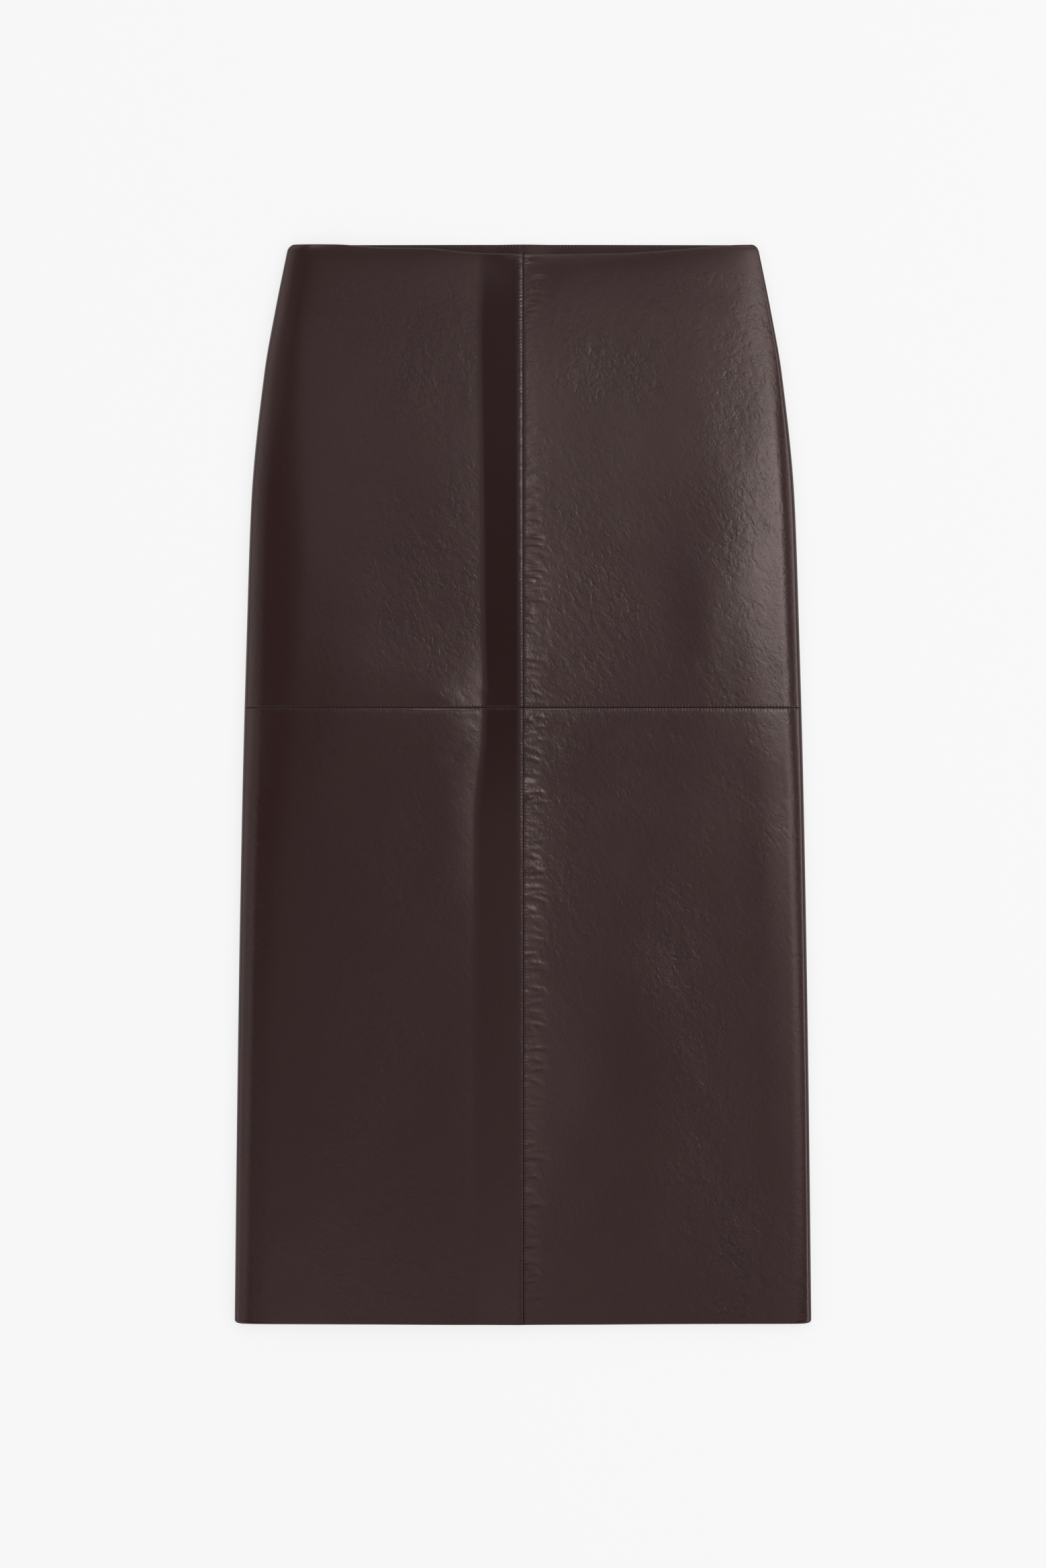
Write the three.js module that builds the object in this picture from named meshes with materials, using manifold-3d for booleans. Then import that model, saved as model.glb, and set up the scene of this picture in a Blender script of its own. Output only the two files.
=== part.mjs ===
// A leather pencil skirt of midi length, laid flat on its back.
// Millimetres, +Z up, +Y towards the waist. The origin is under the middle of the skirt, on the surface it
// lies on. Left and right are the wearer's, so left is +X.
// The skirt is a tube: the back panels lie flat, the side folds roll up, and the front panels lie over them
// with the soft loft that a stiff hide keeps. Each panel is its own wall, a seam's gap from its neighbours.
import * as THREE from 'three';
import { mergeVertices } from 'three/addons/utils/BufferGeometryUtils.js';
import Module from 'manifold-3d';

const wasm = await Module();
wasm.setup();

// Driving dimensions
const skirtLength = 843; // back waist edge to hem
const crossSeam = 362; // back waist edge down to the cross seam
const cornerRound = 3; // radius of the hem's corners
const hide = 1.2; // thickness of the leather
const hemTurn = 38; // width of the hem that is turned inside
const hemHide = 2.2; // leather thickness where the hem is turned
const gap = 0.3; // between pieces at a seam
const allowance = 31; // width of the pressed seam allowances beside the centre front seam
const lip = 1.1; // step down from the centre front seam's raised edge to the panel beside it
const crossLip = 0.8; // step up from the upper front panels to the lower ones
const crossAllowance = 11; // width of that step, over the allowances pressed towards the hem
const shoulder = 2.0; // extra drop of the front panel beside the side fold
const shoulderWide = 14; // and how far in it starts

// The outline, the bend at the side fold and the loft, measured down from the back waist edge. Valley is the
// hollow beside the centre seam's ridge, and fall is how far the panel on its other side sinks away.
const sections = [
  { down: 0, half: 183.5, fold: 2.6, loft: 10.4, valley: 1.0, fall: 0.8 },
  { down: 50, half: 193.6, fold: 2.8, loft: 12.4, valley: 2.6, fall: 1.6 },
  { down: 100, half: 202.3, fold: 3.0, loft: 13.8, valley: 3.3, fall: 2.2 },
  { down: 200, half: 212.4, fold: 3.1, loft: 15.4, valley: 3.6, fall: 2.4 },
  { down: 300, half: 215.9, fold: 3.2, loft: 15.4, valley: 3.6, fall: 2.4 },
  { down: 420, half: 219.2, fold: 3.2, loft: 14.6, valley: 3.0, fall: 2.2 },
  { down: 560, half: 221.9, fold: 3.2, loft: 13.4, valley: 2.0, fall: 1.8 },
  { down: 700, half: 223.9, fold: 3.2, loft: 12.3, valley: 1.3, fall: 1.5 },
  { down: 843, half: 225.5, fold: 3.2, loft: 11.6, valley: 1.0, fall: 1.2 },
];

// The front is cut lower than the back at the waist, and lies a little unevenly
const waistDips = [
  { across: -184, dip: 0.0 },
  { across: -146, dip: 0.4 },
  { across: -108, dip: 3.0 },
  { across: -76, dip: 3.4 },
  { across: -40, dip: 6.8 },
  { across: 10, dip: 8.0 },
  { across: 80, dip: 7.0 },
  { across: 118, dip: 4.4 },
  { across: 168, dip: 0.4 },
  { across: 184, dip: 0.0 },
];

// The concealed zip in the centre back seam
const zipEnd = 205; // bottom of the tape, from the waist
const tapeHalf = 12;
const tapeThick = 0.7;
const coilHalf = 2.4;
const coilHigh = 1.4;
const slider = { top: 9.5, long: 9, half: 3.6, high: 2.4, neckHalf: 0.7, neckLong: 3, neckLow: 0.6 };
const hinge = { down: 12, height: 1.25, pin: 0.42, pinHalf: 2.7 };
const pull = { long: 18, half: 2.9, thick: 0.9, eye: 1.0, eyeBore: 0.64, prongIn: 1.1, prongOut: 2.4 };
const pullRoom = { over: 1.5, high: 2.6, reach: 48, wide: 20 }; // the back's small rise over the pull

// The facing inside the back waist
const facingDeep = 40;
const facingThick = 1.0;
const facingSideGap = 15;
const facingTop = 0.6;

// A smooth curve through a table's rows that never overshoots them
function through(rows, along, value) {
  const at = rows.map((row) => row[along]);
  const to = rows.map((row) => row[value]);
  const rise = at.slice(1).map((a, i) => (to[i + 1] - to[i]) / (a - at[i]));
  const slope = at.map((_, i) => {
    if (i === 0) return rise[0];
    if (i === at.length - 1) return rise[i - 1];
    const [before, after] = [rise[i - 1], rise[i]];
    return before * after <= 0 ? 0 : (2 * before * after) / (before + after);
  });
  return (x) => {
    const clamped = THREE.MathUtils.clamp(x, at[0], at[at.length - 1]);
    let i = 0;
    while (i < at.length - 2 && clamped > at[i + 1]) i += 1;
    const width = at[i + 1] - at[i];
    const t = (clamped - at[i]) / width;
    const blend = t * t * (3 - 2 * t);
    const lean = t * (1 - t) * width * (slope[i] * (1 - t) - slope[i + 1] * t);
    return to[i] + (to[i + 1] - to[i]) * blend + lean;
  };
}

const outlineAt = through(sections, 'down', 'half');
const foldAt = through(sections, 'down', 'fold');
const loftAt = through(sections, 'down', 'loft');
const valleyAt = through(sections, 'down', 'valley');
const fallAt = through(sections, 'down', 'fall');
const dipAt = through(waistDips, 'across', 'dip');
const smooth = (low, high, x) => THREE.MathUtils.smoothstep(x, low, high);

// Half the width at a level, with the hem's corners rounded
function halfAt(down) {
  const into = Math.max(0, down - (skirtLength - cornerRound));
  return outlineAt(down) - cornerRound + Math.sqrt(cornerRound ** 2 - into ** 2);
}

// The centre front seam is a low ridge. On its right the pressed allowances make a flat strip that climbs
// to the seam from a soft valley; on its left the panel starts a lip lower and falls away gently.
function seamRelief(x, down) {
  if (x >= 0) {
    const fade = Math.max(0, 1 - x / 120);
    return -lip * smooth(0, 1.4, x) - fallAt(down) * (1 - fade * fade);
  }
  const away = -x;
  const climb = Math.min(away / allowance, 1);
  const back = smooth(allowance - 2, allowance + 80, away);
  return -valleyAt(down) * climb * (1 - back);
}

// The lower front panels start a little higher, over the cross seam's pressed allowances
function crossRelief(down) {
  const past = down - crossSeam;
  return past < 0 ? 0 : crossLip * (1 - smooth(crossAllowance - 4, crossAllowance + 5, past));
}

// Height of the front's outer face, before the side folds turn it down. It is two layers' bend at the sides,
// climbs a short shoulder there and crowns gently towards the middle.
function frontTop(x, down) {
  const share = Math.abs(x) / halfAt(down);
  const fromSide = Math.min((halfAt(down) - Math.abs(x)) / shoulderWide, 1);
  const sideRise = shoulder * (1 - (1 - fromSide) ** 2);
  const crown = (loftAt(down) - 2 * foldAt(down) - shoulder) * (1 - share ** 4);
  const relief = (seamRelief(x, down) + crossRelief(down)) * (1 - share ** 6);
  return 2 * foldAt(down) + sideRise + crown + relief;
}

// Height of the back's outer face: flat on the surface but for the small rise over the zip's pull
function backFace(x, down) {
  const aside = Math.max(0, Math.abs(x) - hinge.pinHalf) / pullRoom.wide;
  const along = Math.max(0, down - hinge.down - pullRoom.over) / pullRoom.reach;
  const above = Math.max(0, hinge.down - pullRoom.over - down) / pullRoom.reach;
  return pullRoom.high * smooth(0, 1, 1 - Math.hypot(aside, along, above));
}

// A point of the outer face. A stop is an offset from the centre seam, or a turn of the round bend at the
// side fold, from 0 at the side seam to 1 where the bend is done.
function facePoint(isFront, side, stop, down) {
  const faceAt = isFront ? frontTop : backFace;
  if (stop.turn === null) return [side * stop.offset, faceAt(side * stop.offset, down)];
  const fold = foldAt(down);
  const low = Math.asin(gap / 2 / fold);
  const angle = low + (Math.PI / 2 - low) * stop.turn;
  const x = side * (halfAt(down) - fold * (1 - Math.cos(angle)));
  return [x, fold + (faceAt(x, down) - fold) * Math.sin(angle)];
}

// The leather's inner face lies one thickness in, square to the outer face. At a seam it lies straight in.
function innerPoint(isFront, side, stop, down, thick) {
  const [x, z] = facePoint(isFront, side, stop, down);
  if (stop.isCentre) return [x, isFront ? z - thick : z + thick];
  if (stop.isSide) return [x - side * thick, z];
  const [ax, az] = facePoint(isFront, side, stop.before, down);
  const [bx, bz] = facePoint(isFront, side, stop.after, down);
  const inwards = ((isFront ? side : -side) * thick) / Math.hypot(bx - ax, bz - az);
  return [x + inwards * (bz - az), z - inwards * (bx - ax)];
}

// Stops across a panel: the centre seam, named distances from it, even shares up to the shoulder, named
// distances in from the side, then the bend's turns
function stopsAcross({ near, evenSteps, sideStops, foldTurns }, down, centre) {
  const half = halfAt(down);
  const last = near.at(-1);
  const step = (half - shoulderWide - last) / evenSteps;
  const even = Array.from({ length: evenSteps }, (_, i) => last + step * (i + 1));
  const bySide = sideStops.map((fromSide) => half - fromSide);
  const flat = [centre, ...near, ...even, ...bySide].map((offset) => ({ offset, turn: null }));
  const turns = Array.from({ length: foldTurns + 1 }, (_, i) => ({ offset: null, turn: 1 - i / foldTurns }));
  const stops = [...flat, ...turns];
  return stops.map((stop, i) => ({
    ...stop,
    isCentre: i === 0,
    isSide: i === stops.length - 1,
    before: stops[Math.max(i - 1, 0)],
    after: stops[Math.min(i + 1, stops.length - 1)],
  }));
}

// A closed wall between two grids of points with the same rows and columns
function wallBetween(outer, inner) {
  const rows = outer.length;
  const columns = outer[0].length;
  const points = [...outer.flat(), ...inner.flat()];
  const second = rows * columns;
  const id = (row, column, layer) => layer * second + row * columns + column;
  const faces = [];
  const quad = (a, b, c, d) => faces.push(a, b, c, a, c, d);
  for (let row = 0; row < rows - 1; row += 1) {
    for (let column = 0; column < columns - 1; column += 1) {
      const corners = (layer) => [
        id(row, column, layer),
        id(row, column + 1, layer),
        id(row + 1, column + 1, layer),
        id(row + 1, column, layer),
      ];
      quad(...corners(0));
      quad(...corners(1).reverse());
    }
  }
  const edge = [];
  for (let column = 0; column < columns - 1; column += 1) edge.push([0, column]);
  for (let row = 0; row < rows - 1; row += 1) edge.push([row, columns - 1]);
  for (let column = columns - 1; column > 0; column -= 1) edge.push([rows - 1, column]);
  for (let row = rows - 1; row > 0; row -= 1) edge.push([row, 0]);
  edge.forEach(([row, column], i) => {
    const [nextRow, nextColumn] = edge[(i + 1) % edge.length];
    quad(id(nextRow, nextColumn, 0), id(row, column, 0), id(row, column, 1), id(nextRow, nextColumn, 1));
  });
  return facingOut(points, faces);
}

// A geometry whose faces point out, whichever way its grid ran
function facingOut(points, faces) {
  const geometry = new THREE.BufferGeometry();
  geometry.setAttribute('position', new THREE.Float32BufferAttribute(points.flat(), 3));
  let volume = 0;
  const [a, b, c] = [new THREE.Vector3(), new THREE.Vector3(), new THREE.Vector3()];
  for (let i = 0; i < faces.length; i += 3) {
    a.set(...points[faces[i]]);
    b.set(...points[faces[i + 1]]);
    c.set(...points[faces[i + 2]]);
    volume += a.dot(b.cross(c));
  }
  geometry.setIndex(volume < 0 ? faces.reverse() : faces);
  geometry.computeVertexNormals();
  return geometry;
}

const yAt = (down) => skirtLength / 2 - down;

// The leather is doubled where the hem is turned inside
const thickAt = (down) => (down > skirtLength - hemTurn ? hemHide : hide);

// One leather panel: levels down the skirt, stops across it
function panel({ side, isFront, levels, stops, centreAt = () => gap / 2 }) {
  const outer = [];
  const inner = [];
  for (const level of levels) {
    const across = stopsAcross(stops, level.down, centreAt(level.down));
    const downs = across.map((stop) => {
      const [x] = facePoint(isFront, side, stop, level.down);
      return level.down + (level.followsWaist ?? 0) * dipAt(x);
    });
    const row = (pointOf) =>
      across.map((stop, i) => {
        const [x, z] = pointOf(isFront, side, stop, downs[i], thickAt(downs[i]));
        return [x, yAt(downs[i]), z];
      });
    outer.push(row(facePoint));
    inner.push(row(innerPoint));
  }
  return wallBetween(outer, inner);
}

// Levels down the panels. The front's first levels follow its dipped waist edge.
const waistReach = 120;
const upperFront = [0, 5, 12, 24, 42, 70, 110, 160, 215, 270, 320, crossSeam - gap / 2];
const upperFrontLevels = upperFront.map((down) => ({ down, followsWaist: 1 - smooth(0, waistReach, down) }));
const slotHalf = slider.neckLong / 2;
const slotDowns = [-slotHalf - 1, -slotHalf, slotHalf, slotHalf + 1].map((along) => hinge.down + along);
const upperBack = [0, 5, ...slotDowns, 20, 27, 36, 48, 75, 120, 180, 240, 300, crossSeam - gap / 2];
const upperBackLevels = upperBack.map((down) => ({ down }));
const hemTop = skirtLength - hemTurn;
const lowerLevels = [
  ...[gap / 2, crossAllowance - 4, crossAllowance + 5].map((past) => crossSeam + past),
  ...[410, 460, 520, 590, 660, 730],
  ...[hemTop - 0.5, hemTop + 0.5],
  ...[cornerRound * 4, cornerRound, cornerRound * 0.3, 0].map((above) => skirtLength - above),
].map((down) => ({ down }));

// Stops across the panels. The right front has the most, over the ridge beside the centre seam.
const frontSide = { evenSteps: 5, sideStops: [7.5], foldTurns: 5 };
const frontStops = {
  right: { near: [1.5, 10, 21, allowance - 3, allowance + 3, 44, 62, 84, 110], ...frontSide },
  left: { near: [1.5, 12, 32, 60, 90, 120], ...frontSide },
};
const backSide = { evenSteps: 4, sideStops: [], foldTurns: 4 };
const backUpperStops = { near: [3, 8, 15, 24, 40], ...backSide };
const backLowerStops = { near: [20], ...backSide };

// The back panels part a little where the slider's neck comes through
const slotRoom = 0.5;
const neckSlot = (down) =>
  Math.abs(down - hinge.down) < slotHalf + slotRoom ? slider.neckHalf + slotRoom : gap / 2;

const leather = new THREE.MeshStandardMaterial({ color: '#4a3433', roughness: 0.42, metalness: 0 });
const facingLeather = new THREE.MeshStandardMaterial({ color: '#4f3a38', roughness: 0.6, metalness: 0 });
const tapeCloth = new THREE.MeshStandardMaterial({ color: '#3a2a29', roughness: 0.9, metalness: 0 });
const zipMetal = new THREE.MeshStandardMaterial({ color: '#4b3b37', roughness: 0.35, metalness: 0.8 });

const skirt = new THREE.Group();
const add = (name, geometry, material) => {
  const mesh = new THREE.Mesh(geometry, material);
  mesh.name = name;
  skirt.add(mesh);
};

for (const [hand, side] of [['left', 1], ['right', -1]]) {
  const front = { side, isFront: true, stops: frontStops[hand] };
  add(`front_upper_${hand}`, panel({ ...front, levels: upperFrontLevels }), leather);
  add(`front_lower_${hand}`, panel({ ...front, levels: lowerLevels }), leather);

  const back = { side, isFront: false };
  const upper = { ...back, levels: upperBackLevels, stops: backUpperStops, centreAt: neckSlot };
  add(`back_upper_${hand}`, panel(upper), leather);
  add(`back_lower_${hand}`, panel({ ...back, levels: lowerLevels, stops: backLowerStops }), leather);
}

// The facing lies on the back panel's inner face. It meets its fellow above the zip and clears the tape.
function facing(side) {
  const narrows = slider.top - 1;
  const downs = [facingTop, 4, narrows - 0.25, narrows + 0.25, 20, 30, facingDeep];
  const [, , beside, ...onward] = backUpperStops.near;
  const layer = (lift) =>
    downs.map((down) => {
      const from = down < narrows ? gap / 2 : tapeHalf + gap;
      const to = halfAt(down) - facingSideGap;
      const first = [0, 1, 2, 3].map((i) => from + ((beside - from) * i) / 3);
      const rest = [1, 2, 3, 4].map((i) => onward.at(-1) + ((to - onward.at(-1)) * i) / 4);
      return [...first, ...onward, ...rest].map((offset) => {
        const x = side * offset;
        return [x, yAt(down), backFace(x, down) + hide + lift];
      });
    });
  return wallBetween(layer(gap + facingThick), layer(gap));
}
add('back_facing_left', facing(1), facingLeather);
add('back_facing_right', facing(-1), facingLeather);

// The zip's tapes lie over the seam inside, with the closed coil as a low bead along the middle
function zipTape() {
  const downs = [slider.top + slider.long + gap, 24, 30, 38, 50, 90, 150, zipEnd];
  const bead = [
    { x: -tapeHalf, up: tapeThick },
    { x: -tapeHalf * 0.6, up: tapeThick },
    { x: -coilHalf, up: tapeThick },
    { x: -coilHalf * 0.6, up: tapeThick + coilHigh },
    { x: coilHalf * 0.6, up: tapeThick + coilHigh },
    { x: coilHalf, up: tapeThick },
    { x: tapeHalf * 0.6, up: tapeThick },
    { x: tapeHalf, up: tapeThick },
  ];
  const layer = (liftOf) =>
    downs.map((down) =>
      bead.map((stop) => [stop.x, yAt(down), backFace(stop.x, down) + hide + gap + liftOf(stop)]),
    );
  return wallBetween(layer((stop) => stop.up), layer(() => 0));
}
add('zip_tape', zipTape(), tapeCloth);

// A closed geometry as a solid, and back again, for joining and cutting
function toSolid(geometry) {
  const bare = geometry.clone();
  for (const name of ['normal', 'uv']) bare.deleteAttribute(name);
  const merged = mergeVertices(bare, 1e-4);
  const triVerts = new Uint32Array(merged.index.array);
  return new wasm.Manifold(
    new wasm.Mesh({ numProp: 3, vertProperties: merged.attributes.position.array, triVerts }),
  );
}

function fromSolid(solid) {
  const mesh = solid.getMesh();
  const geometry = new THREE.BufferGeometry();
  geometry.setAttribute('position', new THREE.Float32BufferAttribute(mesh.vertProperties, 3));
  geometry.setIndex(Array.from(mesh.triVerts));
  geometry.computeVertexNormals();
  return geometry;
}

const box = (x, y, z, wide, long, high) => new THREE.BoxGeometry(wide, long, high).translate(x, y, z);
const alongX = (radius, from, to) =>
  new THREE.CylinderGeometry(radius, radius, to - from, 16)
    .rotateZ(Math.PI / 2)
    .translate((from + to) / 2, yAt(hinge.down), hinge.height);

// The slider: a body with shoulders inside the skirt, a neck through the seam and a cross pin below
function zipSlider() {
  const floor = pullRoom.high + hide + gap;
  const body = new THREE.Shape();
  body.moveTo(-slider.half, 0);
  body.lineTo(-slider.half, -slider.long * 0.45);
  body.lineTo(-slider.half * 0.62, -slider.long);
  body.lineTo(slider.half * 0.62, -slider.long);
  body.lineTo(slider.half, -slider.long * 0.45);
  body.lineTo(slider.half, 0);
  body.quadraticCurveTo(0, 1, -slider.half, 0);
  const edge = 0.4; // bevel all round the body
  const bevel = { bevelThickness: edge, bevelSize: edge, bevelOffset: -edge, bevelSegments: 2 };
  const depth = slider.high - 2 * edge;
  const shoulders = new THREE.ExtrudeGeometry(body, { depth, curveSegments: 8, ...bevel });
  shoulders.translate(0, yAt(slider.top), floor + edge);
  const neckTall = floor + 0.6 - slider.neckLow;
  const neckMiddle = slider.neckLow + neckTall / 2;
  const neck = box(0, yAt(hinge.down), neckMiddle, slider.neckHalf * 2, slider.neckLong, neckTall);
  const pin = alongX(hinge.pin, -hinge.pinHalf, hinge.pinHalf);
  return fromSolid(toSolid(shoulders).add(toSolid(neck)).add(toSolid(pin)));
}

// The pull tab: two eyes round the pin and a rounded plate, thinner than the eyes are high
function zipPull() {
  const low = hinge.height - pull.eye;
  const plate = new THREE.Shape();
  const root = -slider.neckLong / 2 - 0.3; // clear of the neck at every angle
  plate.moveTo(-pull.prongOut, root);
  plate.lineTo(-pull.half, -pull.long + pull.half);
  plate.absarc(0, -pull.long + pull.half, pull.half, Math.PI, 2 * Math.PI, false);
  plate.lineTo(pull.prongOut, root);
  plate.closePath();
  const window = new THREE.Path();
  window.absarc(0, -pull.long + pull.half + 0.6, 1.2, 0, 2 * Math.PI, true);
  plate.holes.push(window);
  const tab = new THREE.ExtrudeGeometry(plate, { depth: pull.thick, bevelEnabled: false, curveSegments: 16 });
  tab.translate(0, yAt(hinge.down), low);
  let solid = toSolid(tab);
  for (const side of [-1, 1]) {
    const [from, to] = [side * pull.prongIn, side * pull.prongOut].sort((a, b) => a - b);
    const armMiddle = yAt(hinge.down) + (root - 0.2) / 2;
    const arm = box((from + to) / 2, armMiddle, low + pull.thick / 2, to - from, 0.2 - root, pull.thick);
    solid = solid.add(toSolid(alongX(pull.eye, from, to))).add(toSolid(arm));
    solid = solid.subtract(toSolid(alongX(pull.eyeBore, from - 1, to + 1)));
  }
  return fromSolid(solid);
}
add('zip_slider', zipSlider(), zipMetal);
add('zip_pull', zipPull(), zipMetal);

export default skirt;
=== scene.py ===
import bpy
import numpy as np
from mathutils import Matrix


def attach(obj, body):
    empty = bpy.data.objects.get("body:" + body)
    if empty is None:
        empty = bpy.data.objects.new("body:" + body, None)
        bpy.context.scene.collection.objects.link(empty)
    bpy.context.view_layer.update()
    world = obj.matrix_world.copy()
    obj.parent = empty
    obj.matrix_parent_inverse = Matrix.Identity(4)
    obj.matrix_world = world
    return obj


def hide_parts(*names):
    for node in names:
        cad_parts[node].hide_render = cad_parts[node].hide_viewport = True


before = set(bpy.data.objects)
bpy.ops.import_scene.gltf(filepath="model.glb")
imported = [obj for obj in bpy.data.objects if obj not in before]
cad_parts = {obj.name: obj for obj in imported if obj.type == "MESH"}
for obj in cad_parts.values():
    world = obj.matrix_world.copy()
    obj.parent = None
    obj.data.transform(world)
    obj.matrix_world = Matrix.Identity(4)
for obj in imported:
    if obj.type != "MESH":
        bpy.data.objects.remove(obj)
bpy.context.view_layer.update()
mm = 0.001

cut = {
    "length": 843.0,  # back waist edge to hem
    "crossSeam": 362.0,  # back waist edge down to the cross seam
    "seamGap": 0.3,
    "hide": 1.2,  # thickness of the leather
    "hemHide": 2.2,  # thickness where the hem is turned inside
    "hemTurn": 38.0,
    "cornerRound": 3.0,
    "waistRound": 5.0,
    "waistTurn": 0.92,  # share of the waist's quarter circle that shows
    "dipReach": 120.0,  # below the waist, where its dip no longer moves the rows
}
sections = {
    "down": [0, 50, 100, 200, 300, 420, 560, 700, 843],
    "half": [183.5, 193.6, 202.3, 212.4, 215.9, 219.2, 221.9, 223.9, 225.5],
    "fold": [2.6, 2.8, 3.0, 3.1, 3.2, 3.2, 3.2, 3.2, 3.2],  # radius of the bend at the side
    "loft": [10.4, 12.4, 13.8, 15.4, 15.4, 14.6, 13.4, 12.3, 11.6],
    "valley": [1.6, 4.0, 4.4, 4.5, 4.5, 4.0, 3.0, 2.3, 1.4],  # beside the centre seam's ridge
    "fall": [0.9, 1.8, 2.4, 2.6, 2.6, 2.4, 2.0, 1.7, 1.3],  # on the ridge's other side
    "near": [0.5, 0.5, 0.5, 0.45, 0.5, 1.0, 1.2, 1.4, 0.8],  # and of that, close to the seam
    "power": [14, 14, 10, 6, 6, 6, 6, 6, 6],  # of the front's rise from the wearer's right side
}
crown = {
    "leftPower": 6,  # of the front's rise from the wearer's left side
    "seamPower": 6,  # how late the seams' relief fades out at the side folds
    "finePower": 10,  # and how late the finer relief does
}
waistDips = {
    "across": [-184, -146, -108, -76, -40, 10, 80, 118, 168, 184],
    "dip": [0.0, 0.4, 3.0, 3.4, 6.8, 8.0, 7.0, 4.4, 0.4, 0.0],
}
waistEdge = {"sinks": 0.55, "over": 11.0}  # the front's waist edge rolls down by this, over this distance
seams = {
    "lip": 1.0,  # step down from the seam's raised edge
    "nearReach": 14.0,  # on the wearer's left the near fall takes about this distance
    "fallReach": 120.0,  # and the rest of the fall this one
    "crossLip": 0.8,
    "crossFade": [6.0, 74.0],  # below the cross seam, where its pressed allowances stop lifting the hide
    "edgeRound": [0.55, 0.95],  # reach and depth of a turned edge in a seam
    "lipSlope": [5.0, 0.95],  # reach and drop of the slope before the raised edge
    "rightSlope": [2.6, 0.26],  # the same on the other side of the centre seam
    "aboveCross": [1.8, 0.2],  # above the cross seam
    "belowCross": [4.2, 0.65],  # and below it
}
# How much the lower panels' edge sinks into the cross seam
crossPress = {
    "across": [-225, -110, -72, -40, -31, -2, 6, 40, 75, 225],
    "amount": [0.3, 0.3, 1.05, 1.15, 0.2, 0.2, 1.1, 0.9, 0.4, 0.3],
}
# The strip over the pressed allowances beside the centre front seam. Beyond it the quick share of the valley
# comes back up soon, and the rest late.
strip = {
    "down": [0, 60, 200, 290, 340, 380, 450, 600, 843],
    "wide": [31, 34, 32, 31, 30, 31, 37, 37, 35],
    "quick": [0.12, 0.15, 0.2, 0.3, 0.62, 0.78, 0.7, 0.38, 0.25],
    "soon": 24,
    "late": 200,
    "bottom": 0.9,  # how softly the valley's bottom turns
    "farEdge": [-5, 2],  # the mask's soft edges, from the strip's width
    "seamEdge": [-2, 0],  # and from the seam
    "weaker": [400, 620],  # down, where the mask fades
    "fades": 0.6,  # and by how much
}
shoulder = {
    "down": [0, 60, 130, 200, 843],
    "drop": [0.2, 0.5, 1.4, 2.0, 2.0],  # the front's extra drop beside the side fold
    "wide": 14.0,
}
# The back's rise over the zip's pull: the middle of its top, half its size, and how far its slopes reach
pullRoom = {"down": 12.0, "half": 2.7, "over": 1.5, "high": 2.6, "reach": 48.0, "wide": 20.0}
noiseCells = 97  # before the noise comes round again


def through(table, along, column):
    # Monotone cubic through the table's rows: each row's slope is the harmonic mean of its neighbours' rises
    at = np.array(table[along], float)
    to = np.array(table[column], float)
    rise = np.diff(to) / np.diff(at)
    product = rise[:-1] * rise[1:]
    total = np.where(product > 0, rise[:-1] + rise[1:], 1.0)
    middle = np.where(product > 0, 2 * product / total, 0.0)
    slope = np.concatenate([rise[:1], middle, rise[-1:]])

    def curve(x):
        x = np.clip(x, at[0], at[-1])
        i = np.clip(np.searchsorted(at, x, side="right") - 1, 0, len(at) - 2)
        width = at[i + 1] - at[i]
        t = (x - at[i]) / width
        lean = t * (1 - t) * width * (slope[i] * (1 - t) - slope[i + 1] * t)
        return to[i] + (to[i + 1] - to[i]) * t * t * (3 - 2 * t) + lean

    return curve


def smooth(low, high, x):
    # 0 below low, 1 above high, 3t^2 - 2t^3 between
    t = np.clip((x - low) / (high - low), 0, 1)
    return t * t * (3 - 2 * t)


def bell(x, middle, width):
    # 1 at the middle, and falls off as e to the minus square of the distance in widths
    return np.exp(-(((x - middle) / width) ** 2))


def softNoise(x, y, cell, seed):
    # Value noise from -1 to 1: seeded random heights at the corners of square cells, blended smoothly
    heights = np.random.default_rng(seed).uniform(-1, 1, (noiseCells, noiseCells))
    ix, iy = np.floor(x / cell).astype(int), np.floor(y / cell).astype(int)
    tx, ty = smooth(0, 1, x / cell - ix), smooth(0, 1, y / cell - iy)

    def along(row):
        return heights[ix % noiseCells, row] * (1 - tx) + heights[(ix + 1) % noiseCells, row] * tx

    return along(iy % noiseCells) * (1 - ty) + along((iy + 1) % noiseCells) * ty


outlineAt = through(sections, "down", "half")
dropAt = through(shoulder, "down", "drop")
foldAt = through(sections, "down", "fold")
loftAt = through(sections, "down", "loft")
valleyAt = through(sections, "down", "valley")
fallAt = through(sections, "down", "fall")
nearAt = through(sections, "down", "near")
powerAt = through(sections, "down", "power")
stripAt = through(strip, "down", "wide")
quickAt = through(strip, "down", "quick")
dipAt = through(waistDips, "across", "dip")
pressAt = through(crossPress, "across", "amount")


def halfAt(down):
    # Half the width, less a quarter circle at the hem's corner and most of one at the waist's
    low, high = cut["cornerRound"], cut["waistRound"]
    intoHem = np.clip(down - (cut["length"] - low), 0, low)
    intoWaist = np.clip(high - down, 0, high) * cut["waistTurn"]
    return outlineAt(down) - low + np.sqrt(low**2 - intoHem**2) - high + np.sqrt(high**2 - intoWaist**2)


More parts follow.
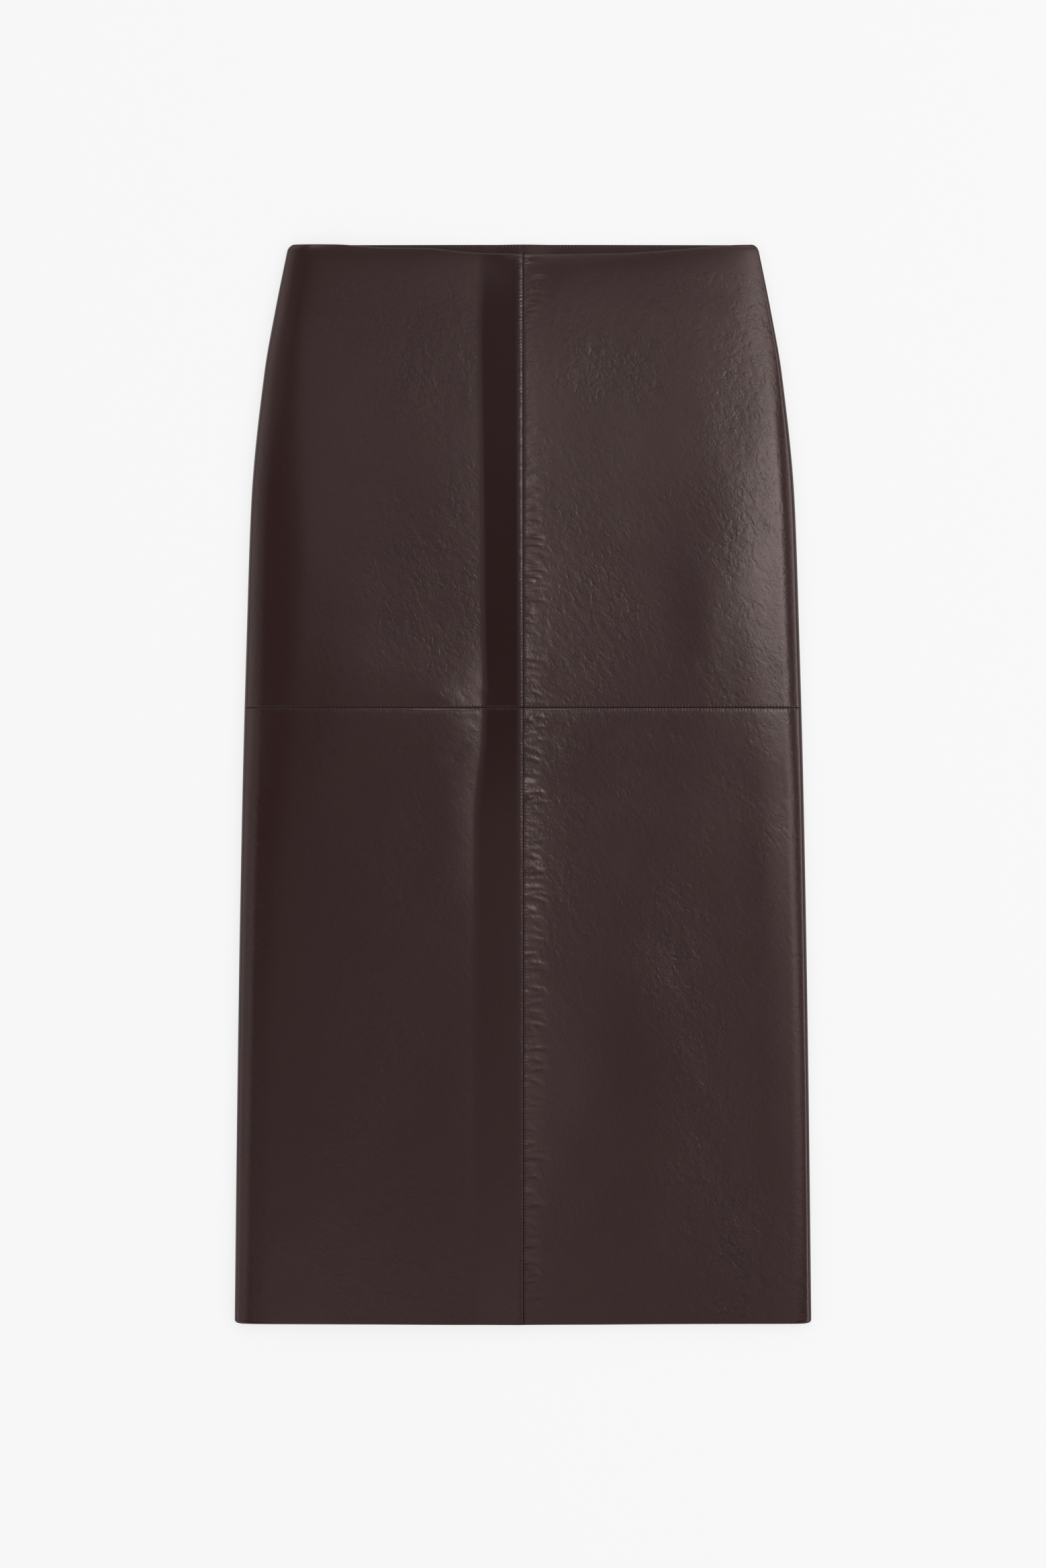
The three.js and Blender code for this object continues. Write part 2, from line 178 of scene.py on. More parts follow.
def seamRidge(x, down):
    # Left of the seam in the picture the pressed strip climbs to it from a valley, in a straight slope, and
    # beyond the valley the hide comes back up in two exponentials. Right of the seam the panel starts a lip
    # lower, falls away exponentially at first and then sinks along a parabola.
    away = np.abs(x)
    fade = np.clip(1 - away / seams["fallReach"], 0, 1)
    falling = nearAt(down) * (1 - np.exp(-away / seams["nearReach"]))
    sunk = -seams["lip"] - falling - fallAt(down) * (1 - fade**2)
    soft = strip["bottom"] * np.logaddexp(0, (away - stripAt(down)) / strip["bottom"])
    climb = (away - soft) / stripAt(down)
    quick = quickAt(down)
    left = quick * np.exp(-soft / strip["soon"]) + (1 - quick) * np.exp(-soft / strip["late"])
    return np.where(x >= 0, sunk, -valleyAt(down) * climb * left)


def crossStep(down):
    # The lower panels start a lip higher, over the cross seam's pressed allowances
    past = down - cut["crossSeam"]
    return np.where(past < 0, 0.0, seams["crossLip"] * (1 - smooth(*seams["crossFade"], past)))


def frontTop(x, down):
    # Two bends of leather at the side, a short shoulder, a crown that falls off with a power of the distance
    # from the middle, and the seams' relief
    half = halfAt(down)
    share = np.abs(x) / half
    fromSide = np.clip((half - np.abs(x)) / shoulder["wide"], 0, 1)
    sideRise = dropAt(down) * (1 - (1 - fromSide) ** 2)
    power = np.where(x < 0, powerAt(down), crown["leftPower"])
    rise = (loftAt(down) - 2 * foldAt(down) - dropAt(down)) * (1 - share**power)
    relief = (seamRidge(x, down) + crossStep(down)) * (1 - share ** crown["seamPower"])
    return 2 * foldAt(down) + sideRise + rise + relief


def backFace(x, down):
    # Flat, but for a smooth mound over the zip's pull
    aside = np.clip(np.abs(x) - pullRoom["half"], 0, None) / pullRoom["wide"]
    below = np.clip(down - pullRoom["down"] - pullRoom["over"], 0, None) / pullRoom["reach"]
    above = np.clip(pullRoom["down"] - pullRoom["over"] - down, 0, None) / pullRoom["reach"]
    return pullRoom["high"] * smooth(0, 1, 1 - np.sqrt(aside**2 + below**2 + above**2))


# Creases by their middle, length, width, turn in degrees and height
frontCreases = {
    "across": [
        118, 128, 143, 166, 40, 62, 88, -60, -54, -90, -118, 150, 30, 36, -28, -40, 100, 172, -150, 60,
    ],
    "down": [
        560, 640, 700, 770, 392, 430, 476, 352, 400, 500, 545, 150, 372, 384, 352, 372, 380, 60, 700, 740,
    ],
    "length": [90, 80, 70, 60, 60, 70, 50, 34, 30, 90, 60, 120, 26, 30, 22, 20, 80, 60, 120, 90],
    "width": [9, 8, 7, 6, 12, 14, 10, 7, 6, 16, 12, 18, 4, 5, 4, 4, 8, 10, 18, 14],
    "turn": [62, 68, 55, 48, -35, -40, -50, 20, 160, 75, 60, 85, -20, -35, 60, 20, -8, 60, 88, -60],
    "high": [
        -0.2, 0.16, -0.16, 0.15, -0.22, 0.2, -0.15, 0.2, -0.2, -0.2,
        0.15, 0.2, 0.12, -0.12, 0.15, -0.12, -0.16, 0.2, -0.2, -0.15,
    ],
}
backCreases = {
    "across": [-120, 96, -60, 140, 40, -150, 70, -30],
    "down": [120, 210, 330, 420, 520, 610, 700, 770],
    "length": [90, 120, 70, 100, 80, 110, 90, 60],
    "width": [14, 18, 10, 14, 12, 16, 12, 9],
    "turn": [40, -60, 15, 70, -35, 80, 50, -20],
    "high": [0.35, 0.4, 0.3, 0.4, 0.35, 0.4, 0.35, 0.3],
}
creaseForm = {"sag": 0.1, "endPower": 1.5}  # sag of a crease as a share of its length, and how its ends fade


def creaseHeight(table, x, down):
    # Sum of soft ridges: a bell across each crease, which sags along a parabola and fades out at its ends
    height = np.zeros(np.broadcast(x, down).shape)
    for across, at, length, width, turn, high in zip(*table.values()):
        angle = np.radians(turn)
        along = (x - across) * np.cos(angle) + (down - at) * np.sin(angle)
        aside = (down - at) * np.cos(angle) - (x - across) * np.sin(angle)
        fromMiddle = (2 * along / length) ** 2
        ends = np.clip(1 - fromMiddle, 0, 1) ** creaseForm["endPower"]
        height += high * ends * bell(aside, creaseForm["sag"] * length * fromMiddle, width)
    return height


# Broad swells and hollows by their middle, size and height
swells = {
    "across": [-62, 188, 110, 60, -120, -62, -150, -76, -60, 100, 140, 60, -150, 195, -136, 144],
    "down": [352, 160, 260, 250, 190, 300, 430, 450, 600, 420, 560, 650, 700, 480, 305, 285],
    "wide": [18, 18, 30, 30, 40, 26, 26, 18, 40, 40, 40, 40, 30, 16, 26, 22],
    "tall": [22, 60, 70, 70, 60, 50, 80, 60, 70, 40, 60, 80, 80, 60, 75, 60],
    "high": [0.4, 0.2, -0.15, -0.2, -0.4, -0.4, 0.3, -0.3, -0.7, 0.2, -0.5, -0.9, 0.4, 0.4, 1.2, 0.8],
}


def bells(table, x, down):
    # Sum of bells, each the product of one across and one down
    height = 0 * x
    for across, at, wide, tall, high in zip(*table.values()):
        height = height + high * bell(x, across, wide) * bell(down, at, tall)
    return height


# How hard the thread pulls at the centre seam, and how high its raised lip stands
seamPull = {
    "down": [
        10, 60, 160, 200, 250, 300, 362, 372, 400, 432, 446, 480, 520, 556, 610, 640, 700, 780, 843,
    ],
    "amount": [
        0.3, 0.12, 0.15, 0.5, 0.8, 0.45, 0.5, 1.0, 0.95, 0.9,
        0.3, 0.7, 0.85, 0.6, 0.6, 0.5, 0.45, 0.4, 0.2,
    ],
    "lip": [
        0.7, 1, 1, 1, 0.95, 0.85, 0.8, 0.8, 0.75, 0.7,
        0.7, 0.6, 0.5, 0.5, 0.45, 0.4, 0.35, 0.3, 0.3,
    ],
    "reach": 5.5,  # dies away over this distance from the seam
    "cells": [3.3, 9.0],  # sizes of its unevenness
    "seeds": [51, 52],
    "second": 0.6,  # share of the larger size
    "least": 0.25,
    "uneven": 0.42,
    "between": [-0.5, 1.2],
}
pullAlong = through(seamPull, "down", "amount")
lipAlong = through(seamPull, "down", "lip")
puckers = {
    "seed": 11,
    "from": 22.0,  # down
    "to": 836.0,
    "step": [2.6, 8.5],
    "start": 2.0,  # from the seam
    "reach": [7.0, 19.0],  # how far they run out
    "longer": 1.15,  # as their ends fade
    "width": [0.9, 1.9],
    "turn": [-14, 18],
    "high": [0.1, 0.5],
    "farthest": 24.0,  # only points this near the seam,
    "beside": 12.0,  # and this near a pucker, are moved by it
}


def puckerTable():
    # Short ridges square to the centre seam on the wearer's left of it, as high as the thread pulls there
    rng = np.random.default_rng(puckers["seed"])
    table = {name: [] for name in ("across", "down", "length", "width", "turn", "high")}
    at = puckers["from"]
    while at < puckers["to"]:
        reach = rng.uniform(*puckers["reach"])
        table["across"].append(puckers["start"] + reach / 2)
        table["down"].append(at)
        table["length"].append(reach * puckers["longer"])
        table["width"].append(rng.uniform(*puckers["width"]))
        table["turn"].append(rng.uniform(*puckers["turn"]))
        table["high"].append(pullAlong(at) * rng.uniform(*puckers["high"]))
        at += rng.uniform(*puckers["step"])
    return table


puckerRows = puckerTable()


def puckerHeight(x, down):
    # The same ridges, added only to the rows and columns that each one reaches
    height = np.zeros(np.broadcast(x, down).shape)
    beside = (x[0] > 0) & (x[0] < puckers["farthest"])
    if not beside.any():
        return height
    for row in zip(*puckerRows.values()):
        near = np.abs(down[:, 0] - row[1]) < puckers["beside"]
        if near.any():
            block = np.ix_(near, beside)
            one = {name: [value] for name, value in zip(puckerRows, row)}
            height[block] += creaseHeight(one, x[block], down[block])
    return height


def slopeDown(away, reach, drop):
    # How far the hide has sunk at a distance from its seam: a parabola over its reach
    return drop * np.clip(1 - np.abs(away) / reach, 0, 1) ** 2


def edgeRounding(x, down):
    # The outer face rounds off at every seam along a quarter ellipse
    reach, depth = seams["edgeRound"]
    inCentre = np.clip(1 - np.abs(x) / reach, 0, 1)
    inCross = np.clip(1 - np.abs(down - cut["crossSeam"]) / reach, 0, 1)
    return depth * np.maximum(1 - np.sqrt(1 - inCentre**2), 1 - np.sqrt(1 - inCross**2))


# Beside both seams the hide swells between stitches: height and size, and each seam's middle, width and seed
stitchSwell = {"high": 0.07, "cell": 1.3, "centre": (-1.6, 1.0, 5), "cross": (1.2, 0.9, 6)}


def seamSlopes(x, down):
    # The hide sinks towards its seams, the raised lip from further back, and the lip swells between stitches
    toCross = down - cut["crossSeam"]
    lip = lipAlong(down) * slopeDown(x, *seams["lipSlope"])
    centre = np.where(x < 0, lip, slopeDown(x, *seams["rightSlope"]))
    below = pressAt(x) * slopeDown(toCross, *seams["belowCross"])
    cross = np.where(toCross < 0, slopeDown(toCross, *seams["aboveCross"]), below)
    middle, width, seed = stitchSwell["centre"]
    swell = softNoise(x * 0, down, stitchSwell["cell"], seed) * bell(x, middle, width)
    middle, width, seed = stitchSwell["cross"]
    swell = swell + softNoise(x, down * 0, stitchSwell["cell"], seed) * bell(toCross, middle, width)
    return stitchSwell["high"] * swell - centre - cross


def besidePull(x, down):
    # On the wearer's left the thread draws the hide down towards the centre seam, by an uneven amount that
    # dies away in a few millimetres
    small, large = seamPull["cells"]
    uneven = softNoise(x * 0 + 3, down, small, seamPull["seeds"][0])
    uneven = uneven + seamPull["second"] * softNoise(x * 0, down, large, seamPull["seeds"][1])
    lift = pullAlong(down) * (seamPull["least"] + seamPull["uneven"] * np.clip(uneven, *seamPull["between"]))
    return np.where(x > 0, lift * np.exp(-np.abs(x) / seamPull["reach"]), 0)


sideRolls = {
    "down": [0, 120, 240, 362, 480, 640, 843],
    "at": [0.78, 0.79, 0.79, 0.84, 0.88, 0.9, 0.9],  # as a share of the half width
    "wide": [20, 20, 20, 18, 16, 15, 14],
    "high": [0, 0, 0.55, 0.35, 0.2, 0.3, 0.1],
}
rollAt = through(sideRolls, "down", "at")
rollWide = through(sideRolls, "down", "wide")
rollHigh = through(sideRolls, "down", "high")


def sideRoll(x, down):
    # A soft ridge down each side, where the hide turns towards the side fold: a bell across it
    return rollHigh(down) * bell(np.abs(x), rollAt(down) * halfAt(down), rollWide(down))


def waistRoll(x, down):
    # The front's waist edge rolls down exponentially
    return -waistEdge["sinks"] * np.exp(-np.clip(down - dipAt(x), 0, None) / waistEdge["over"])


# Slow waves in the hide. The two wide ones are calmer over the pressed strip, and the two fine ones only rise
# where the grain stands out.
hideWaves = {
    "cell": [74, 31, 8, 4.1],
    "high": [0.14, 0.09, 0.035, 0.012],
    "seed": [1, 2, 3, 4],
    "shift": 400,
    "calmAt": -17,
    "calmTo": [17, 43],
    "inCalm": 0.2,
}


def waveHeight(x, down):
    # Four sizes of value noise, each by its height and its mask
    wide, middling, small, least = (
        high * softNoise(x + hideWaves["shift"], down, cell, seed)
        for cell, high, seed in zip(hideWaves["cell"], hideWaves["high"], hideWaves["seed"])
    )
    calm = smooth(*hideWaves["calmTo"], np.abs(x - hideWaves["calmAt"]))
    share = hideWaves["inCalm"] + (1 - hideWaves["inCalm"]) * calm
    return (wide + middling) * share + (small + least) * grainMask(x, down)


def frontRelief(x, down):
    # Waves, creases, swells, puckers, the sunk seams and the rolled edges, fading out at the side fold
    height = waveHeight(x, down) + creaseHeight(frontCreases, x, down) + bells(swells, x, down)
    height += puckerHeight(x, down) + besidePull(x, down) + seamSlopes(x, down) + sideRoll(x, down)
    height += waistRoll(x, down)
    return height * (1 - (np.abs(x) / halfAt(down)) ** crown["finePower"])


def backRelief(x, down):
    # The back rests flat, so its creases only lift off the surface
    lifted = np.clip(creaseHeight(backCreases, x, down), 0, None)
    return lifted * (1 - (np.abs(x) / halfAt(down)) ** crown["finePower"])


# Where the grain stands out, by the middle, half sizes and strength of each patch
grainPatches = {
    "across": [-70, -70, 69, 166, 64, -115, 118, 132, 165, -115, 20],
    "down": [97, 272, 97, 200, 296, 520, 560, 700, 790, 690, 420],
    "halfWide": [34, 40, 34, 26, 24, 34, 22, 22, 26, 40, 26],
    "halfTall": [42, 80, 30, 170, 50, 90, 60, 80, 50, 90, 130],
    "amount": [0.8, 0.55, 0.8, 0.45, 0.45, 0.35, 0.8, 0.9, 0.9, 0.3, 0.4],
}
grainSpread = {
    "base": 0.28,
    "even": 0.8,
    "uneven": 0.35,
    "cell": 22,
    "seed": 21,
    "shift": 300,
    "waist": [8, 34],  # down, where it starts
    "offWaist": 0.7,  # how much weaker it is there,
    "offStrip": 0.92,  # on the pressed strip,
    "offBand": 0.5,  # and on a band beside the wearer's right side fold
    "bandFrom": [-208, -196],
    "bandTo": [-172, -150],
    "back": 0.45,  # on the back panels
}


def pressedStrip(x, down):
    # 1 on the strip over the pressed allowances, weaker towards the hem
    low, high = strip["farEdge"]
    onStrip = smooth(low - stripAt(down), high - stripAt(down), x) * (1 - smooth(*strip["seamEdge"], x))
    return onStrip * (1 - strip["fades"] * smooth(*strip["weaker"], down))


def grainMask(x, down):
    # Bells over the patches where the grain stands out, on a low base, held under 1 by an exponential
    mask = grainSpread["base"] + bells(grainPatches, x, down)
    blotches = softNoise(x + grainSpread["shift"], down, grainSpread["cell"], grainSpread["seed"])
    mask = mask * (grainSpread["even"] + grainSpread["uneven"] * blotches)
    band = smooth(*grainSpread["bandFrom"], x) * (1 - smooth(*grainSpread["bandTo"], x))
    held = 1 - grainSpread["offWaist"] * (1 - smooth(*grainSpread["waist"], down))
    held = held * (1 - grainSpread["offStrip"] * pressedStrip(x, down)) * (1 - grainSpread["offBand"] * band)
    return (1 - np.exp(-mask)) * held


# Widths of the dark lines of painted shade in the seams and at the front's waist edge, how dark that painted
# shade is there and over the pressed strip, and widths of the hide that the thread pulls at
seamLook = {
    "centreLine": (0.6, 1.0),  # middle and width, beside the raised edge
    "crossLine": 0.75,
    "waistLine": 1.1,
    "waistShade": 0.8,
    "stripShade": 0.3,
    "stripEnds": [340, 480],  # down, where the strip's painted shade stops
    "centrePull": 3.4,
    "crossPull": 2.2,
}


def seamMasks(x, down, edge):
    # Bells over the seams, for the hide that the thread pulls, and the highest of a few for painted shade: a
    # dark line in the seams' grooves and at the turned edge of the front's waist, and weaker painted shade
    # over the pressed strip
    toCross = down - cut["crossSeam"]
    onStrip = pressedStrip(x, down) * (1 - smooth(*seamLook["stripEnds"], down))
    paintedShade = np.maximum(bell(x, *seamLook["centreLine"]), bell(toCross, 0, seamLook["crossLine"]))
    paintedShade = np.maximum(paintedShade, seamLook["waistShade"] * bell(down, edge, seamLook["waistLine"]))
    paintedShade = np.maximum(paintedShade, seamLook["stripShade"] * onStrip)
    return bell(x, 0, seamLook["centrePull"]), bell(toCross, 0, seamLook["crossPull"]), paintedShade


def ringOf(rows, columns):
    # The grid's points, and those round its edge in order
    index = np.arange(rows * columns).reshape(rows, columns)
    return index, np.concatenate([index[0, :-1], index[:-1, -1], index[-1, :0:-1], index[:0:-1, 0]])


def overWall(values):
    # One value for each point of a closed wall made from a grid: both sheets, then the rim's three bands
    _, ring = ringOf(*values.shape)
    flat = values.ravel()
    return np.concatenate([flat, flat, *[flat[ring]] * 3])


def closedWall(outer, inner, bulge):
    # A closed wall between two grids: both sheets, and a rim of four bands all round whose section is a half
    # ellipse. It stands out from each edge by that edge's bulge, in the order first row, last column, last
    # row, first column, and along the inner grid, because the outer one may be rounded off there.
    rows, columns = outer.shape[:2]
    index, ring = ringOf(rows, columns)
    out = np.zeros_like(outer)
    for edge, behind, size in (
        (np.s_[0, :], np.s_[1, :], bulge[0]),
        (np.s_[:, -1], np.s_[:, -2], bulge[1]),
        (np.s_[-1, :], np.s_[-2, :], bulge[2]),
        (np.s_[:, 0], np.s_[:, 1], bulge[3]),
    ):
        away = inner[edge] - inner[behind]
        out[edge] += size * away / np.linalg.norm(away, axis=-1, keepdims=True)
    outerFlat = outer.reshape(-1, 3)
    innerFlat = inner.reshape(-1, 3)
    middle = (outerFlat[ring] + innerFlat[ring]) / 2
    arm = (outerFlat[ring] - innerFlat[ring]) / 2
    turns = np.pi * np.arange(1, 4) / 4
    bands = [middle + arm * np.cos(turn) + out.reshape(-1, 3)[ring] * np.sin(turn) for turn in turns]
    points = np.concatenate([outerFlat, innerFlat, *bands])
    sheet = np.stack([index[:-1, :-1], index[:-1, 1:], index[1:, 1:], index[1:, :-1]], -1).reshape(-1, 4)
    count = rows * columns
    loops = [ring, *(2 * count + len(ring) * i + np.arange(len(ring)) for i in range(3)), ring + count]
    sides = [
        np.stack([np.roll(near, -1), near, far, np.roll(far, -1)], -1) for near, far in zip(loops, loops[1:])
    ]
    quads = np.concatenate([sheet, sheet[:, ::-1] + count, *sides])
    return points, quads


def facingOut(points, quads):
    # Turns every face round if the volume that they close is negative
    a, b, c, d = (points[quads[:, i]] for i in range(4))
    volume = np.einsum("ij,ij->", a, np.cross(b, c)) + np.einsum("ij,ij->", a, np.cross(c, d))
    return quads if volume > 0 else quads[:, ::-1]


def addMesh(name, points, quads, materials, attributes=None):
    # A smooth-shaded piece from arrays of points and four-sided faces, and a value a point for each attribute
    mesh = bpy.data.meshes.new(name)
    mesh.vertices.add(len(points))
    mesh.vertices.foreach_set("co", (np.asarray(points) * mm).astype(np.float32).ravel())
    mesh.loops.add(quads.size)
    mesh.loops.foreach_set("vertex_index", np.ascontiguousarray(quads).astype(np.int32).ravel())
    mesh.polygons.add(len(quads))
    mesh.polygons.foreach_set("loop_start", np.arange(0, quads.size, 4, dtype=np.int32))
    mesh.update(calc_edges=True)
    mesh.validate()
    mesh.shade_smooth()
    for key, values in (attributes or {}).items():
        layer = mesh.attributes.new(key, "FLOAT", "POINT")
        layer.data.foreach_set("value", np.asarray(values, np.float32).ravel())
    for material in materials:
        mesh.materials.append(material)
    piece = bpy.data.objects.new(name, mesh)
    bpy.context.scene.collection.objects.link(piece)
    return piece


def spread(parts):
    # Steps of a given size over each stretch, as one rising array from the first start to the last end
    steps = [
        np.linspace(start, end, max(2, round((end - start) / size) + 1))[:-1] for start, end, size in parts
    ]
    return np.concatenate([*steps, [parts[-1][1]]])


# The panels' grids. A stretch is from, to and step: near ones by the distance from the centre seam, shares by
# the part of the rest up to the bend, and top ones down from the waist.
panelGrid = {
    "front": {
        "near": [(0.15, 0.75, 0.12), (0.75, 4, 0.41), (4, 20, 1.07), (20, 46, 1.7)],
        "shares": [(0, 0.88, 0.021), (0.88, 1, 0.0075)],
        "turns": 10,  # steps round the bend
        "top": [(2.4, 60, 0.95)],
        "upperStep": 0.95,
        "lowerStep": 1.25,
    },
    "back": {
        "near": [(0.15, 0.75, 0.2), (0.75, 3, 0.75), (3, 30, 3)],
        "shares": [(0, 0.9, 0.045), (0.9, 1, 0.02)],
        "turns": 8,
        "top": [(2.4, 8.4, 2), (8.4, 15.6, 0.6), (15.6, 60, 2)],  # finer round the zip's neck
        "upperStep": 4.0,
        "lowerStep": 4.0,
    },
}
edgeRows = {
    "step": 0.13,  # beside a seam
    "openStep": 0.39,  # beside the waist and the hem
    "seam": [0.65, 1.7],  # how far the first rows beside a seam go, and the ones after them
    "afterSeam": 0.35,  # the step of those
    "hem": 3.2,
    "turn": 0.6,  # above and below the end of the hem's turn
}
rims = {
    "seam": 0.17,  # how far an edge in a seam stands out, so that two of them meet
    "waist": 0.5,
    "hem": 0.9,
}
zipSlot = {
    "half": 1.2,  # half the slot in the back seam, where the zip's pull comes through
    "ends": [1.6, 2.8],  # above and below the pull's pin, where the slot closes
    "besideSeam": 3.0,  # columns nearer to the seam than this move with it
}


def panelColumns(isFront):
    # Distances from the seam, then shares of what is left, then turns from the top of the bend to its end
    grid = panelGrid["front" if isFront else "back"]
    return spread(grid["near"]), spread(grid["shares"])[1:-1], 1 - np.linspace(0, 1, grid["turns"] + 1)


def panelLevels(isFront, isUpper):
    # The rows, down from the waist: close together beside the seams, the waist, the hem and its turn
    grid = panelGrid["front" if isFront else "back"]
    gap = cut["seamGap"] / 2
    near, far = edgeRows["seam"]
    if isUpper:
        end = cut["crossSeam"] - gap
        waist = (0, grid["top"][0][0], edgeRows["openStep"])
        middle = (grid["top"][-1][1], end - far, grid["upperStep"])
        seam = [(end - far, end - near, edgeRows["afterSeam"]), (end - near, end, edgeRows["step"])]
        return spread([waist, *grid["top"], middle, *seam])
    start, end, step, turn = cut["crossSeam"] + gap, cut["length"], grid["lowerStep"], edgeRows["turn"]
    hemTop, hemRows = end - cut["hemTurn"], end - edgeRows["hem"]
    seam = [(start, start + near, edgeRows["step"]), (start + near, start + far, edgeRows["afterSeam"])]
    middle = [(start + far, hemTop - turn, step), (hemTop - turn, hemTop + turn, turn)]
    return spread([*seam, *middle, (hemTop + turn, hemRows, step), (hemRows, end, edgeRows["openStep"])])


sideSeam = {
    "down": [0, 70, 105, 135, 843],
    "lift": [48, 48, 36, 0, 0],  # degrees that the wearer's left side seam has rolled up round the side fold
}
liftAt = through(sideSeam, "down", "lift")


def panelPlan(isFront, side, down, columns, slot):
    # Where the columns lie at each level, as x, and the bend's angle where a column is on the side fold. The
    # near columns keep their distance from the seam, the shares divide the rest, and the turns go round the
    # bend to the side seam. Where that has rolled up, the back goes further round and the front less far.
    near, shares, turns = columns
    half = halfAt(down)
    fold = foldAt(down)
    split = len(near) + len(shares)
    flat = np.empty((len(down), split))
    follows = np.clip(1 - (near - near[0]) / zipSlot["besideSeam"], 0, 1)
    flat[:, : len(near)] = near + (slot[:, None] - near[0]) * follows
    reach = (half - fold)[:, len(near) : split]
    flat[:, len(near) :] = near[-1] + (reach - near[-1]) * shares
    low = np.arcsin(cut["seamGap"] / 2 / fold[:, split:])
    if side > 0:
        low = low + np.radians(liftAt(down[:, split:])) * (1 if isFront else -1)
    angle = low + (np.pi / 2 - low) * turns
    bent = half[:, split:] - fold[:, split:] * (1 - np.cos(angle))
    angles = np.concatenate([np.full(flat.shape, np.pi / 2), angle], 1)
    return side * np.concatenate([flat, bent], 1), angles


def panelSheets(isFront, isUpper, side):
    # Both sheets are the form plus its relief, the inner one a thickness in, and the outer one rounds off at
    # the seams. On the bend both go round: x moves by the cosine of the bend's angle and z by its sine.
    columns = panelColumns(isFront)
    levels = panelLevels(isFront, isUpper)
    gap = cut["seamGap"] / 2
    slot = np.full(len(levels), gap)
    if isUpper and not isFront:
        slot += (zipSlot["half"] - gap) * (1 - smooth(*zipSlot["ends"], np.abs(levels - pullRoom["down"])))
    down = np.repeat(levels[:, None], sum(map(len, columns)), 1)
    x, angles = panelPlan(isFront, side, down, columns, slot)
    if isUpper and isFront:
        down = down + (1 - smooth(0, cut["dipReach"], down)) * dipAt(x)
        x, angles = panelPlan(isFront, side, down, columns, slot)
    fold = foldAt(down)
    thick = np.where(down > cut["length"] - cut["hemTurn"], cut["hemHide"], cut["hide"])
    inwards = -1 if isFront else 1
    face = frontTop(x, down) + frontRelief(x, down) if isFront else backFace(x, down) + backRelief(x, down)
    rounded = face + inwards * edgeRounding(x, down)
    outerZ = fold + (rounded - fold) * np.sin(angles)
    innerZ = fold + (face + inwards * thick - fold) * np.sin(angles)
    innerX = x - side * thick * np.cos(angles)
    y = cut["length"] / 2 - down
    return np.stack([x, y, outerZ], -1), np.stack([innerX, y, innerZ], -1), x, down


def flatSize(sheet):
    # The longest row and column of a grid, and the area of its cells, in metres and square metres
    across = np.linalg.norm(np.diff(sheet, axis=1), axis=-1).sum(1).max()
    along = np.linalg.norm(np.diff(sheet, axis=0), axis=-1).sum(0).max()
    first = sheet[1:, 1:] - sheet[:-1, :-1]
    second = sheet[1:, :-1] - sheet[:-1, 1:]
    area = np.linalg.norm(np.cross(first, second), axis=-1).sum() / 2
    return (round(across * mm, 4), round(along * mm, 4)), round(area * mm * mm, 5)


def addPanel(name, isFront, isUpper, side):
    # A wall between the panel's two sheets, with its masks, and the flesh side inside down to the hem's turn
    outer, inner, x, down = panelSheets(isFront, isUpper, side)
    waist, seam, hem = rims["waist"], rims["seam"], rims["hem"]
    bulge = (waist, seam, seam, seam) if isUpper else (seam, seam, hem, seam)
    points, quads = closedWall(outer, inner, bulge)
    edge = down[:1] if isFront and isUpper else -cut["length"]
    # The masks carry the thread's pull at both seams and where painted shade darkens the hide
    centre, cross, paintedShade = seamMasks(x, down, edge)
    grain = grainMask(x, down) if isFront else grainSpread["back"] + 0 * x
    masks = {"grain": grain, "centreSeam": centre, "crossSeam": cross, "paintedShade": paintedShade}
    attributes = {key: overWall(values) for key, values in masks.items()}
    piece = addMesh(name, points, facingOut(points, quads), [leather, fleshSide], attributes)
    cells = (x.shape[0] - 1) * (x.shape[1] - 1)
    middle = (down[1:, 1:] + down[:-1, :-1]) / 2
    slots = np.zeros(len(quads), np.int32)
    slots[cells : 2 * cells] = (middle < cut["length"] - cut["hemTurn"]).ravel()
    piece.data.polygons.foreach_set("material_index", slots)
    flat, area = flatSize(outer)
    print(name, "cut to", flat, "metres, area", area, "with", 2 * len(quads), "triangles")
    return piece, flat, area


# The facing lies along the waist, inside the back panels and over their seam's turned edges
facing = {
    "rows": [(0.6, 3, 0.5), (3, 8.1, 1), (8.1, 8.9, 0.8), (8.9, 38, 2), (38, 40, 0.5)],  # down from the waist
    "shares": [(0, 0.03, 0.005), (0.03, 0.97, 0.02), (0.97, 1, 0.005)],  # of its width
    "narrows": 8.5,  # below this it stops short of the zip's tape
    "besideTape": 12.3,
    "sideGap": 15.0,
    "under": 1.5,  # heights of its two faces over the back's outer face
    "over": 2.5,
    "waver": 0.06,
    "cell": 14,
    "seed": 31,
    "shift": 500,
    "rims": (0.4, 0.3, 0.3, 0.16),  # how far its edges stand out: waist, side, lower, centre
    "grain": 0.35,
}


def addFacing(name, side):
    # A strip a little over the back's face, straight at the sides, wavering by noise
    levels = spread(facing["rows"])
    shares = spread(facing["shares"])
    start = np.where(levels < facing["narrows"], cut["seamGap"] / 2, facing["besideTape"])[:, None]
    x = side * (start + (halfAt(levels)[:, None] - facing["sideGap"] - start) * shares)
    down = np.repeat(levels[:, None], len(shares), 1)
    waver = facing["waver"] * softNoise(x + facing["shift"], down, facing["cell"], facing["seed"])
    y = cut["length"] / 2 - down
    outer = np.stack([x, y, backFace(x, down) + facing["over"] + waver], -1)
    inner = np.stack([x, y, backFace(x, down) + facing["under"]], -1)
    points, quads = closedWall(outer, inner, facing["rims"])
    grain = {"grain": overWall(facing["grain"] + 0 * x)}
    piece = addMesh(name, points, facingOut(points, quads), [facingLeather], grain)
    flat, area = flatSize(outer)
    print(name, "cut to", flat, "metres, area", area)
    return piece, flat, area


